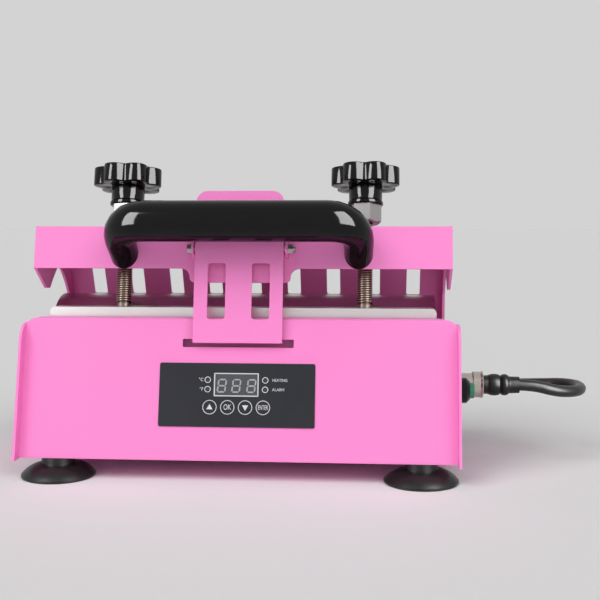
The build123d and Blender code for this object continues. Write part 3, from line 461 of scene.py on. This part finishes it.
class PRESS_OT_stage(PressOperator, bpy.types.Operator):
    """Add the floor, lamps, world and camera"""

    bl_idname = "press.stage"
    bl_label = "Stage"

    def execute(self, context):
        settings = context.scene.press
        clear_selection()
        bpy.ops.mesh.primitive_plane_add(size=FLOOR_SIZE, location=(0, 0, 0))
        floor = settle(named("studio_floor"))
        floor.data.materials.append(floor_finish(settings.floor))
        self.soft_lamps()
        self.box_lamps()
        self.surround(context.scene, settings)
        self.camera(context.scene)
        context.scene.view_settings.view_transform = "Standard"
        return {"FINISHED"}

    def soft_lamps(self):
        """Wide suns that light the press and don't show in its gloss."""
        for name, turn, height, strength in SOFT_LAMPS:
            bpy.ops.object.light_add(type="SUN", location=self.around(turn, height, SOFT_REACH))
            lamp = named(name)
            lamp.data.energy = strength
            lamp.data.angle = SOFT_SPREAD
            lamp.rotation_euler = lamp.location.to_track_quat("Z", "Y").to_euler()
            lamp.visible_glossy = False

    def box_lamps(self):
        """Tall boxes that show in gloss alone, brightest in the black mouldings."""
        boxed = bpy.data.collections.new("box_lit")
        for (name, spot, wide, high), (seen_by, glow) in itertools.product(BOX_LAMPS, BOX_GLOW):
            bpy.ops.object.light_add(type="AREA", location=spot)
            lamp = named(name + "_" + seen_by)
            lamp.data.shape = "RECTANGLE"
            lamp.data.size = wide
            lamp.data.size_y = high
            lamp.data.energy = glow * math.pi * wide * high
            lamp.rotation_euler = Vector((spot[0], spot[1], 0)).to_track_quat("Z", "Y").to_euler()
            lamp.visible_diffuse = False
            lamp.visible_camera = False
            if seen_by == "moulded":
                lamp.light_linking.receiver_collection = boxed

    def camera(self, scene):
        """The photograph's own view."""
        bpy.ops.object.camera_add(
            location=place(*CAMERA_SPOT), rotation=(math.pi / 2 - CAMERA_DROP, 0, CAMERA_TURN)
        )
        camera = named("photo_camera")
        camera.data.sensor_width = CAMERA_SENSOR
        camera.data.lens = CAMERA_LENS
        camera.data.clip_start = 0.01
        scene.camera = camera

    def around(self, turn, height, reach):
        """A point round the press: turn from the front to the right, and height, in degrees."""
        turn, height = math.radians(turn), math.radians(height)
        level = Vector((math.sin(turn), -math.cos(turn), 0))
        return (level * math.cos(height) + Vector((0, 0, math.sin(height)))) * reach

    def surround(self, scene, settings):
        """A pale surround in the picture and in reflections, and a dimmer one as light."""
        scene.world = scene.world or bpy.data.worlds.new("studio")
        world = Tree(scene.world)
        path = world.add("ShaderNodeLightPath").outputs
        seen = Amount(world, path["Is Camera Ray"]) + Amount(world, path["Is Glossy Ray"])
        seen = (seen + Amount(world, path["Is Transmission Ray"])) > 0.5
        strength = seen * (settings.surround - AMBIENT) + AMBIENT
        glow = world.add("ShaderNodeBackground", {"Color": (1, 1, 1, 1), "Strength": strength})
        world.add("ShaderNodeOutputWorld", {0: glow.outputs[0]})


class PRESS_OT_sheet_metal(PressOperator, bpy.types.Operator):
    """Paint the folded sheet pieces"""

    bl_idname = "press.sheet_metal"
    bl_label = "Sheet metal"

    def execute(self, context):
        coat_nodes(
            "paint", "front_panel", "side_plate_left", "side_plate_right", "floor_pan", "rear_panel",
            "rear_deck", "end_wall_left", "end_wall_right", "hood_shell", "hood_cheek_left",
            "hood_cheek_right", "latch_strap", "latch_bracket",
        )
        return {"FINISHED"}


class PRESS_OT_metal_parts(PressOperator, bpy.types.Operator):
    """Finish the bare metal pieces"""

    bl_idname = "press.metal_parts"
    bl_label = "Metal parts"

    def execute(self, context):
        coat_nodes("satin", "pressure_bar", "lower_shell")
        coat_nodes("mirror", "upper_shell")
        coat_nodes(
            "zinc", "rod_nuts", "jam_nut_left", "jam_nut_right", "handle_screws", "latch_bolt",
            "latch_nut", "hinge_bolts", "hinge_nuts", "foot_nuts", "foot_studs", "inlet_screws", "panel_nuts",
        )
        coat_nodes("ring", "lead_socket", "plug_ring")
        coat_nodes("seat", "rod_seats")
        return {"FINISHED"}


class PRESS_OT_mouldings(PressOperator, bpy.types.Operator):
    """Finish the plastic and rubber pieces"""

    bl_idname = "press.mouldings"
    bl_label = "Mouldings"

    def execute(self, context):
        coat_nodes("black", "power_bezel", "mains_inlet")
        coat_nodes("handle", "handle")
        coat_nodes("rubber", "feet", "lead_grommet", "plug_boot")
        coat_nodes("overlay", "control_overlay", "display_module", *(key for key, _, _ in KEYS))
        coat_nodes("window", "display_window")
        coat_nodes("green", "power_button")
        coat_nodes("lens", "led_lenses")
        coat_nodes("board", "control_board", "board_spacers", "key_switches")
        coat_nodes("nylon", "hinge_washers")
        return {"FINISHED"}


# A point of the panel's face at the overlay's middle, and the foot of its slope
OVERLAY_Z = 63.5
PANEL_FOOT_Y, PANEL_FOOT_Z = 18.6, 17.6
# How far the print stands off the panel's face: on the overlay, behind the window and on the keys
OVERLAY_LIFT, DIGIT_LIFT, KEY_LIFT = 0.8, 0.72, 0.97
# The print is drawn in millimetres to the right of and above the overlay's middle
LAMP_SPOTS = ((-21.9, 11.2), (-21.9, 4.2), (21.2, 11.2), (21.2, 4.2))
LAMP_RING_R = 2.1
# Each lamp's word, its place, size, side and stretch
LAMP_WORDS = (
    ("°C", -25.0, 11.2, 3.4, "RIGHT", 1.0), ("°F", -25.0, 4.2, 3.4, "RIGHT", 1.0),
    ("HEATING", 26.4, 11.2, 3.1, "LEFT", 0.86), ("ALARM", 26.4, 4.2, 3.1, "LEFT", 0.92),
)
WINDOW_SPOT = (-0.4, 7.7)
WINDOW_WIDE, WINDOW_HIGH, WINDOW_LINE = 33.4, 17.4, 0.8
# Each key with its place across and its sign
KEYS = (
    ("key_up", -20.0, "up"), ("key_ok", -6.7, "OK"), ("key_down", 6.6, "down"), ("key_enter", 19.9, "ENTER"),
)
KEY_V = -9.1
KEY_RING_R = 5.05
# Each arrow's turn and lift, and each word's size and stretch
ARROWS = {"up": (0, -0.3), "down": (math.pi, 0.3)}
ARROW_R = 2.7
KEY_WORDS = {"OK": (5.8, 0.68), "ENTER": (4.9, 0.52)}
DIGIT_SPOTS = (-11.2, -0.35, 10.9)
DIGIT_V = 6.9
DIGIT_SLANT = 0.12
# The level segments' length is also the step between their rows
LEVEL_LONG, UPRIGHT_LONG, SEGMENT_WIDE, UPRIGHT_OUT = 4.6, 3.8, 1.15, 2.8
RING_LINE = 0.5
RING_HALF_THICK = 0.06
WORD_HALF_THICK = 0.04
BAR_THICK = 0.1


def panel_matrix(lift):
    """Frame on the control panel: x right, y up the slope, z out, lift in millimetres off the face."""
    out = Vector((0, -math.cos(PANEL_LEAN), math.sin(PANEL_LEAN)))
    up = Vector((0, math.sin(PANEL_LEAN), math.cos(PANEL_LEAN)))
    overlay_y = PANEL_FOOT_Y + (OVERLAY_Z - PANEL_FOOT_Z) * math.tan(PANEL_LEAN)
    return standing(up, out, place(0, overlay_y, OVERLAY_Z) + out * (lift * MM))


def flat_ring(u, v, radius):
    """A thin printed ring with soft edges."""
    clear_selection()
    bpy.ops.mesh.primitive_torus_add(
        location=(u * MM, v * MM, 0), major_radius=radius * MM, minor_radius=RING_LINE / 2 * MM,
        major_segments=48, minor_segments=8,
    )
    ring = named("ring")
    with editing():
        bpy.ops.transform.resize(value=(1, 1, RING_HALF_THICK / (RING_LINE / 2)))
    return settle(ring)


def words(text, u, v, size, align="CENTER", stretch=1.0):
    """Flat printed text as a mesh."""
    clear_selection()
    bpy.ops.object.text_add(location=(u * MM, v * MM, 0))
    label = named("label")
    label.data.body = text
    label.data.size = size * MM
    label.data.align_x = align
    label.data.align_y = "CENTER"
    label.data.extrude = WORD_HALF_THICK * MM
    label.scale.x = stretch
    only(label)
    bpy.ops.object.convert(target="MESH")
    return settle(bpy.context.object)


def arrow(u, turn, lift):
    """A key's printed triangle."""
    clear_selection()
    bpy.ops.mesh.primitive_cylinder_add(
        vertices=3, radius=ARROW_R * MM, depth=BAR_THICK * MM, location=(u * MM, (KEY_V + lift) * MM, 0),
        rotation=(0, 0, turn),
    )
    with editing():
        bpy.ops.mesh.bevel(offset=0.03 * MM, segments=1)
    return settle(named("arrow"))


def bar_segment(u, v, length, wide, turn=0):
    """One segment of a digit, or one side of the window's frame: a thin bar with bevelled ends."""
    clear_selection()
    bpy.ops.mesh.primitive_cube_add(size=1, location=(u * MM, v * MM, 0), rotation=(0, 0, turn))
    segment = named("segment")
    segment.scale = (length * MM, wide * MM, BAR_THICK * MM)
    settle(segment)
    with editing():
        bpy.ops.mesh.bevel(offset=min(length, wide) * 0.3 * MM, segments=1, affect="EDGES")
    return segment


class PRESS_OT_panel_print(PressOperator, bpy.types.Operator):
    """Print the control panel and its keys"""

    bl_idname = "press.panel_print"
    bl_label = "Panel print"

    def execute(self, context):
        self.overlay_print()
        for key, u, sign in KEYS:
            self.key_print(key, u, sign)
        self.digits()
        return {"FINISHED"}

    def overlay_print(self):
        """The lamps' rings and words and the window's frame."""
        prints = [flat_ring(u, v, LAMP_RING_R) for u, v in LAMP_SPOTS]
        prints += [words(*word) for word in LAMP_WORDS]
        u, v = WINDOW_SPOT
        for side in (-0.5, 0.5):
            prints.append(bar_segment(u, v + side * (WINDOW_HIGH - WINDOW_LINE), WINDOW_WIDE, WINDOW_LINE))
        for side in (-0.5, 0.5):
            prints.append(bar_segment(u + side * (WINDOW_WIDE - WINDOW_LINE), v, WINDOW_LINE, WINDOW_HIGH))
        label = joined("panel_print", prints)
        settle(label, panel_matrix(OVERLAY_LIFT))
        finished(label, "base", SHOP["print"])

    def key_print(self, key, u, sign):
        """A key's ring with its arrow or word, which ride on the key."""
        pieces = [flat_ring(u, KEY_V, KEY_RING_R)]
        if sign in ARROWS:
            pieces.append(arrow(u, *ARROWS[sign]))
        else:
            size, stretch = KEY_WORDS[sign]
            pieces.append(words(sign, u, KEY_V, size, stretch=stretch))
        symbol = joined(key + "_print", pieces)
        settle(symbol, panel_matrix(KEY_LIFT))
        finished(symbol, key, SHOP["print"])

    def digits(self):
        """Three unlit digits of seven segments, slanted."""
        segments = []
        for spot in DIGIT_SPOTS:
            for row in (-1, 0, 1):
                segments.append(bar_segment(spot, row * LEVEL_LONG, LEVEL_LONG, SEGMENT_WIDE))
            for side, row in itertools.product((-1, 1), (-0.5, 0.5)):
                u = spot + side * UPRIGHT_OUT
                segments.append(bar_segment(u, row * LEVEL_LONG, UPRIGHT_LONG, SEGMENT_WIDE, math.pi / 2))
        digits = joined("display_digits", segments)
        slant = Matrix.Identity(4)
        slant[0][1] = DIGIT_SLANT
        digits.data.transform(Matrix.Translation((0, DIGIT_V * MM, 0)) @ slant)
        settle(digits, panel_matrix(DIGIT_LIFT))
        finished(digits, "base", SHOP["digit"])


# Both screws, drawn along their own axis in millimetres from the middle of the knob's head
SCREW_SPOT = (94.3, 89.9, 226.0)
THREAD_END, THREAD_TOP = -100.1, -37.4
ROOT_R, CREST_R = 5.10, 6.12
# Where the flat crest starts and ends in each turn
CREST_START, CREST_END = 0.42, 0.58
CORE_R, CORE_LONG, CORE_MIDDLE, CORE_EDGE = 5.30, 88.25, -56.125, 0.6
SIDES = (("left", -1), ("right", 1))


def screw_matrix(side):
    """Frame on a knob's screw: z up the axis, origin at the middle of the head."""
    axis = Vector((0, math.sin(SCREW_TILT), math.cos(SCREW_TILT)))
    back = Vector((0, math.cos(SCREW_TILT), -math.sin(SCREW_TILT)))
    out, depth, height = SCREW_SPOT
    return standing(back, axis, place(side * out, depth, height))


class PRESS_OT_threads(PressOperator, bpy.types.Operator):
    """Cut the threads of both screws"""

    bl_idname = "press.threads"
    bl_label = "Threads"

    def execute(self, context):
        settings = context.scene.press
        for name, side in SIDES:
            thread = self.thread(settings.pitch, settings.thread_steps)
            rod = joined("threaded_rod_" + name, [thread, self.core()])
            settle(rod, screw_matrix(side))
            finished(rod, "screw_" + name, SHOP["thread"], ("rod_" + name,), 40)
        return {"FINISHED"}

    def thread(self, pitch, steps):
        """A single thread's profile, screwed along the rod."""
        clear_selection()
        bpy.ops.mesh.primitive_plane_add(size=1)
        thread = named("thread")
        with editing():
            bpy.ops.mesh.delete(type="ONLY_FACE")
        profile = ((ROOT_R, 0), (CREST_R, CREST_START), (CREST_R, CREST_END), (ROOT_R, 1))
        order = self.chain(thread)
        for index, (radius, share) in zip(order, profile):
            thread.data.vertices[index].co = (radius * MM, 0, THREAD_END * MM + share * pitch)
        with editing("DESELECT"):
            bpy.ops.mesh.select_mode(type="EDGE")
        for edge in thread.data.edges:
            edge.select = set(edge.vertices) == {order[0], order[-1]}
        bpy.ops.object.mode_set(mode="EDIT")
        bpy.ops.mesh.delete(type="EDGE")
        bpy.ops.object.mode_set(mode="OBJECT")
        screw = thread.modifiers.new("turns", "SCREW")
        screw.axis = "Z"
        screw.screw_offset = pitch
        screw.iterations = int((THREAD_TOP - THREAD_END) * MM / pitch)
        screw.steps = steps
        screw.render_steps = steps
        modified(thread, screw)
        with editing():
            tidy_mesh(merge=0.004 * MM)
        return thread

    def core(self):
        """The solid rod inside the thread."""
        clear_selection()
        bpy.ops.mesh.primitive_cylinder_add(
            vertices=40, radius=CORE_R * MM, depth=CORE_LONG * MM, location=(0, 0, CORE_MIDDLE * MM)
        )
        with editing():
            bpy.ops.mesh.bevel(offset=CORE_EDGE * MM, segments=2)
        return settle(named("core"))

    def chain(self, thread):
        """The plane's corners in order round its edge."""
        links = {v.index: [] for v in thread.data.vertices}
        for edge in thread.data.edges:
            first, second = edge.vertices
            links[first].append(second)
            links[second].append(first)
        order = [0]
        while len(order) < 4:
            order.append(next(v for v in links[order[-1]] if v not in order))
        return order


LOBES = 7
POINTS_A_LOBE = 26
# How far each knob is turned at rest, in degrees
KNOB_TURN = {"left": 30.2, "right": 23.1}
# The head's outline in millimetres: its reach, its valleys, and the lobes' radius and middle
HEAD_R, VALLEY_R, LOBE_R, LOBE_OUT = 27.0, 22.4, 8.4, 18.6
# How sharply valleys and lobes meet
BLEND = 24
# The head's underside and the hub's top: height in millimetres, then share of the outline or radius
HEAD_FOOT = (-7.0, 0.975)
HUB_TOP = (-4.0, 13.0)
# The shallow recess under the head, its rims and dished top: height and share of the outline
RECESS_RINGS = ((-7.0, 0.70), (-6.6, 0.66), (-6.6, 0.30))
HEAD_RINGS = (
    (-6.8, 0.993), (-6.5, 1.0), (6.2, 1.0), (6.75, 0.991), (7.0, 0.972), (7.0, 0.80), (6.5, 0.765),
    (5.9, 0.75), (5.9, 0.36), (6.6, 0.33), (6.6, 0.05),
)
# The hub: height and radius in millimetres, down to its flared foot and up into the screw's hole
HUB_RINGS = (
    (-14.0, 13.0), (-18.2, 13.0), (-19.2, 13.35), (-19.6, 13.75), (-21.3, 13.8), (-21.9, 13.5),
    (-22.2, 12.9), (-22.2, 8.0), (-21.4, 7.2), (-14.0, 7.2),
)


class PRESS_OT_knobs(PressOperator, bpy.types.Operator):
    """Mould both star knobs"""

    bl_idname = "press.knobs"
    bl_label = "Star knobs"

    def execute(self, context):
        for name, side in SIDES:
            knob = joined("star_knob_" + name, [self.head(KNOB_TURN[name]), self.hub()])
            settle(knob, screw_matrix(side))
            finished(knob, "screw_" + name, SHOP["black"], ("knob_" + name,), 38)
        return {"FINISHED"}

    def head(self, turn):
        """The lobed head, closed below and dished above."""
        foot, foot_share = HEAD_FOOT
        head = self.ring("head", LOBES * POINTS_A_LOBE, 1.0, foot)
        for vertex in head.data.vertices:
            angle = math.degrees(math.atan2(vertex.co.y, vertex.co.x))
            reach = foot_share * MM * self.outline(angle, turn)
            vertex.co.x *= reach
            vertex.co.y *= reach
        self.close_below(RECESS_RINGS, *HEAD_FOOT)
        self.grow(HEAD_RINGS, *HEAD_FOOT)
        return head

    def hub(self):
        """The round hub with its flared foot."""
        height, radius = HUB_TOP
        hub = self.ring("hub", 72, radius * MM, height)
        self.grow(HUB_RINGS, *HUB_TOP)
        return hub

    def outline(self, angle, turn):
        """The head's reach at an angle: a disc and its lobes, blended in the valleys."""
        step = 360 / LOBES
        off = math.radians((angle + 90 - turn + step / 2) % step - step / 2)
        lobe = LOBE_OUT * math.cos(off) + math.sqrt(max(0.0, LOBE_R ** 2 - (LOBE_OUT * math.sin(off)) ** 2))
        return min(HEAD_R, (VALLEY_R ** BLEND + lobe ** BLEND) ** (1 / BLEND))

    def ring(self, name, count, radius, height):
        """An open ring, its radius in metres and its height in millimetres."""
        clear_selection()
        bpy.ops.mesh.primitive_circle_add(
            vertices=count, radius=radius, fill_type="NOTHING", location=(0, 0, height * MM)
        )
        return settle(named(name))

    def rise(self, rings, height, share):
        """Extrude the selected ring through heights in millimetres and shares of its size."""
        for next_height, next_share in rings:
            move = (0, 0, (next_height - height) * MM)
            bpy.ops.mesh.extrude_region_move(TRANSFORM_OT_translate={"value": move})
            factor = next_share / share
            bpy.ops.transform.resize(value=(factor, factor, 1), center_override=(0, 0, 0))
            height, share = next_height, next_share
        bpy.ops.mesh.edge_face_add()

    def close_below(self, rings, height, share):
        """Close the head's underside, and leave its first ring selected again."""
        head = bpy.context.object
        count = len(head.data.vertices)
        with editing():
            self.rise(rings, height, share)
            bpy.ops.mesh.select_all(action="DESELECT")
        for vertex in head.data.vertices[:count]:
            vertex.select = True
        for edge in head.data.edges:
            edge.select = max(edge.vertices) < count

    def grow(self, rings, height, share):
        """Extrude the open ring of the active piece and close its end."""
        piece = bpy.context.object
        bpy.ops.object.mode_set(mode="EDIT")
        if not any(edge.select for edge in piece.data.edges):
            bpy.ops.mesh.select_all(action="SELECT")
        self.rise(rings, height, share)
        bpy.ops.mesh.select_all(action="SELECT")
        bpy.ops.mesh.fill_holes(sides=0)
        bpy.ops.mesh.normals_make_consistent(inside=False)
        bpy.ops.object.mode_set(mode="OBJECT")


# Where the handle's legs stand on the hood's lip and how far they reach, in the machine's millimetres
HANDLE_FOOT = Vector((0, 53.88, 168.4))
HANDLE_TOP = Vector((0, 25.0, 192.5))
HANDLE_X = 89.7
BEND_R = 22.0
# The legs start below the lip, which trims them, and swell by these factors to their first bend
LEG_R, LEG_START, LEG_MIDDLE = 10.9, -9, 4
LEG_SWELL, BEND_START_SWELL = 1.01, 1.04
# The grip's radius through each bend, by degrees turned
BEND_STEP = 15
BEND_SWELL = ((0, 11.45), (15, 11.8), (30, 12.6), (45, 13.6), (60, 14.5), (75, 15.05), (90, 15.25))


class PRESS_OT_handle(PressOperator, bpy.types.Operator):
    """Mould the carrying handle"""

    bl_idname = "press.handle"
    bl_label = "Handle"

    def execute(self, context):
        run = HANDLE_TOP - HANDLE_FOOT
        rise = run.normalized()
        handle = self.swept(run.length - BEND_R)
        settle(handle, standing(rise, RIGHT.cross(rise), place(*HANDLE_FOOT)))
        lip = Vector((0, -math.cos(SCREW_TILT), math.sin(SCREW_TILT)))
        with editing():
            bpy.ops.mesh.bisect(plane_co=place(*HANDLE_FOOT), plane_no=lip, clear_inner=True, use_fill=True)
            tidy_mesh()
        finished(handle, "hood", SHOP["handle"], ("handle",), 50)
        return {"FINISHED"}

    def swept(self, centre):
        """Both legs, both bends and the grip, lying flat, with the bends' centres at a height."""
        left, right = -HANDLE_X, HANDLE_X
        clear_selection()
        bpy.ops.mesh.primitive_circle_add(
            vertices=48, radius=LEG_R * MM, fill_type="NOTHING", location=(left * MM, LEG_START * MM, 0),
            rotation=(math.pi / 2, 0, 0),
        )
        handle = settle(named("carrying_handle"))
        with editing():
            self.step((0, LEG_MIDDLE - LEG_START), LEG_SWELL, (left, LEG_MIDDLE))
            self.step((0, centre - LEG_MIDDLE), BEND_START_SWELL, (left, centre))
            for (_, before), (turn, radius) in zip(BEND_SWELL, BEND_SWELL[1:]):
                self.turn_step(left + BEND_R, centre, radius / before, turn, -1)
            self.step((2 * (HANDLE_X - BEND_R), 0), 1.0, (0, 0))
            down = BEND_SWELL[::-1]
            for (_, before), (turn, radius) in zip(down, down[1:]):
                self.turn_step(right - BEND_R, centre, radius / before, turn, 1)
            self.step((0, LEG_MIDDLE - centre), 1 / BEND_START_SWELL, (right, LEG_MIDDLE))
            self.step((0, LEG_START - LEG_MIDDLE), 1 / LEG_SWELL, (right, LEG_START))
        return handle

    def step(self, move, factor, middle):
        """Extrude the open ring by a move in millimetres and resize it about its new middle."""
        bpy.ops.mesh.extrude_region_move(TRANSFORM_OT_translate={"value": (move[0] * MM, move[1] * MM, 0)})
        self.resize(factor, middle)

    def resize(self, factor, middle):
        """Resize the open ring about a middle in millimetres."""
        bpy.ops.transform.resize(
            value=(factor, factor, factor), center_override=(middle[0] * MM, middle[1] * MM, 0)
        )

    def turn_step(self, bend_x, bend_y, factor, turn, side):
        """Extrude the open ring round the bend's centre and resize it about its own."""
        bpy.ops.mesh.extrude_region_move(TRANSFORM_OT_translate={"value": (0, 0, 0)})
        bpy.ops.transform.rotate(
            value=math.radians(BEND_STEP), orient_axis="Z", orient_type="GLOBAL",
            center_override=(bend_x * MM, bend_y * MM, 0),
        )
        total = math.radians(turn)
        self.resize(factor, (bend_x + side * math.cos(total) * BEND_R, bend_y + math.sin(total) * BEND_R))


# The bay's axis in the machine's millimetres, and half its length
BAY_Y, BAY_Z = 92.0, 94.5
LINING_HALF = 147.9
# Each kind of lining: its middle radius and half its thickness
FELT = (37.15, 0.5)
MAT = (35.7, 0.65)
# How far the edges of each half's linings stay above or below the bay's axis
EDGE_GAP = {"upper": 3.7, "lower": 0.4}


class PRESS_OT_pads(PressOperator, bpy.types.Operator):
    """Line both halves of the bay"""

    bl_idname = "press.pads"
    bl_label = "Pads"

    def execute(self, context):
        for half, body, sign in (("upper", "upper_heater", 1), ("lower", "base", -1)):
            felt = self.lining(half + "_pad_felt", EDGE_GAP[half], sign, *FELT)
            finished(felt, body, SHOP["felt"], (half + "_felt_pad",), 40)
            mat = self.lining(half + "_mat_rubber", EDGE_GAP[half], sign, *MAT)
            finished(mat, body, SHOP["mat"], (half + "_heating_mat",), 40)
        return {"FINISHED"}

    def lining(self, name, gap, sign, radius, half_thick):
        """A half tube with soft edges, spun from a flat strip over or under the bay's axis."""
        start = math.asin(gap / radius)
        clear_selection()
        bpy.ops.mesh.primitive_cube_add(size=1, location=(0, radius * MM, 0))
        lining = named(name)
        lining.scale = (2 * LINING_HALF * MM, 2 * half_thick * MM, 0)
        settle(lining)
        with editing():
            bpy.ops.mesh.remove_doubles(threshold=0.01 * MM)
            bpy.ops.mesh.delete(type="ONLY_FACE")
            bpy.ops.mesh.select_all(action="SELECT")
            bpy.ops.mesh.edge_face_add()
            bpy.ops.mesh.select_all(action="SELECT")
            bpy.ops.transform.rotate(
                value=-sign * start, orient_axis="X", orient_type="GLOBAL", center_override=(0, 0, 0)
            )
            bpy.ops.mesh.spin(
                steps=40, angle=-sign * (math.pi - 2 * start), center=(0, 0, 0), axis=(1, 0, 0)
            )
            tidy_mesh(merge=0.01 * MM)
        settle(lining, Matrix.Translation(place(0, BAY_Y, BAY_Z)))
        edge = lining.modifiers.new("soft_edges", "BEVEL")
        edge.width = half_thick * 0.6 * MM
        edge.segments = 2
        edge.limit_method = "ANGLE"
        edge.angle_limit = math.radians(60)
        modified(lining, edge)
        return lining


# The free lead's middle line in the machine's millimetres, from the plug's boot round into the side plate
LEAD_ROUTE = (
    (214.8, 85.0, 64.8),
    (225.8, 85.0, 64.8),
    (243.3, 85.0, 60.2),
    (259.3, 93.7, 58.6),
    (268.0, 108.8, 58.4),
    (268.0, 126.2, 58.4),
    (259.3, 141.3, 57.8),
    (244.2, 150.0, 56.0),
    (213.2, 150.3, 55.2),
    (190.2, 150.0, 56.0),
    (170.0, 150.0, 56.0),
)


class PRESS_OT_lead(PressOperator, bpy.types.Operator):
    """Lay the free lead from its plug round to the grommet"""

    bl_idname = "press.lead"
    bl_label = "Lead"

    def execute(self, context):
        settings = context.scene.press
        clear_selection()
        line = bpy.data.curves.new("side_lead", "CURVE")
        line.dimensions = "3D"
        line.resolution_u = 8
        line.bevel_depth = settings.lead_radius
        line.bevel_resolution = 5
        line.use_fill_caps = True
        spline = line.splines.new("NURBS")
        spline.points.add(len(LEAD_ROUTE) - 1)
        for point, spot in zip(spline.points, LEAD_ROUTE):
            point.co = (*place(*spot), 1)
        spline.order_u = 3
        spline.use_endpoint_u = True
        lead = bpy.data.objects.new("side_lead", line)
        context.scene.collection.objects.link(lead)
        finished(lead, "base", SHOP["jacket"], ("heater_lead",))
        return {"FINISHED"}


OPERATORS = (
    PRESS_OT_stage, PRESS_OT_lead, PRESS_OT_sheet_metal, PRESS_OT_metal_parts, PRESS_OT_mouldings,
    PRESS_OT_panel_print, PRESS_OT_threads, PRESS_OT_knobs, PRESS_OT_handle, PRESS_OT_pads,
)


class PRESS_PT_panel(bpy.types.Panel):
    """Lists the press's operators"""

    bl_label = "Tumbler heat press"
    bl_idname = "PRESS_PT_panel"
    bl_space_type = "VIEW_3D"
    bl_region_type = "UI"
    bl_category = "Press"

    def draw(self, context):
        for setting in ("paint", "floor", "surround", "pitch", "thread_steps", "lead_radius"):
            self.layout.prop(context.scene.press, setting)
        for operator in OPERATORS:
            self.layout.operator(operator.bl_idname)


CLASSES = (PressSettings, *OPERATORS, PRESS_PT_panel)


def register():
    """Add the classes and the settings."""
    for item in CLASSES:
        bpy.utils.register_class(item)
    bpy.types.Scene.press = PointerProperty(type=PressSettings)


def unregister():
    """Take them away again."""
    del bpy.types.Scene.press
    for item in reversed(CLASSES):
        bpy.utils.unregister_class(item)


def main():
    """Dress the press."""
    register()
    make_finishes(bpy.context.scene.press)
    bpy.ops.press.stage()
    bpy.ops.press.lead()
    bpy.ops.press.sheet_metal()
    bpy.ops.press.metal_parts()
    bpy.ops.press.mouldings()
    bpy.ops.press.panel_print()
    bpy.ops.press.threads()
    bpy.ops.press.knobs()
    bpy.ops.press.handle()
    bpy.ops.press.pads()


if __name__ == "__main__":
    main()
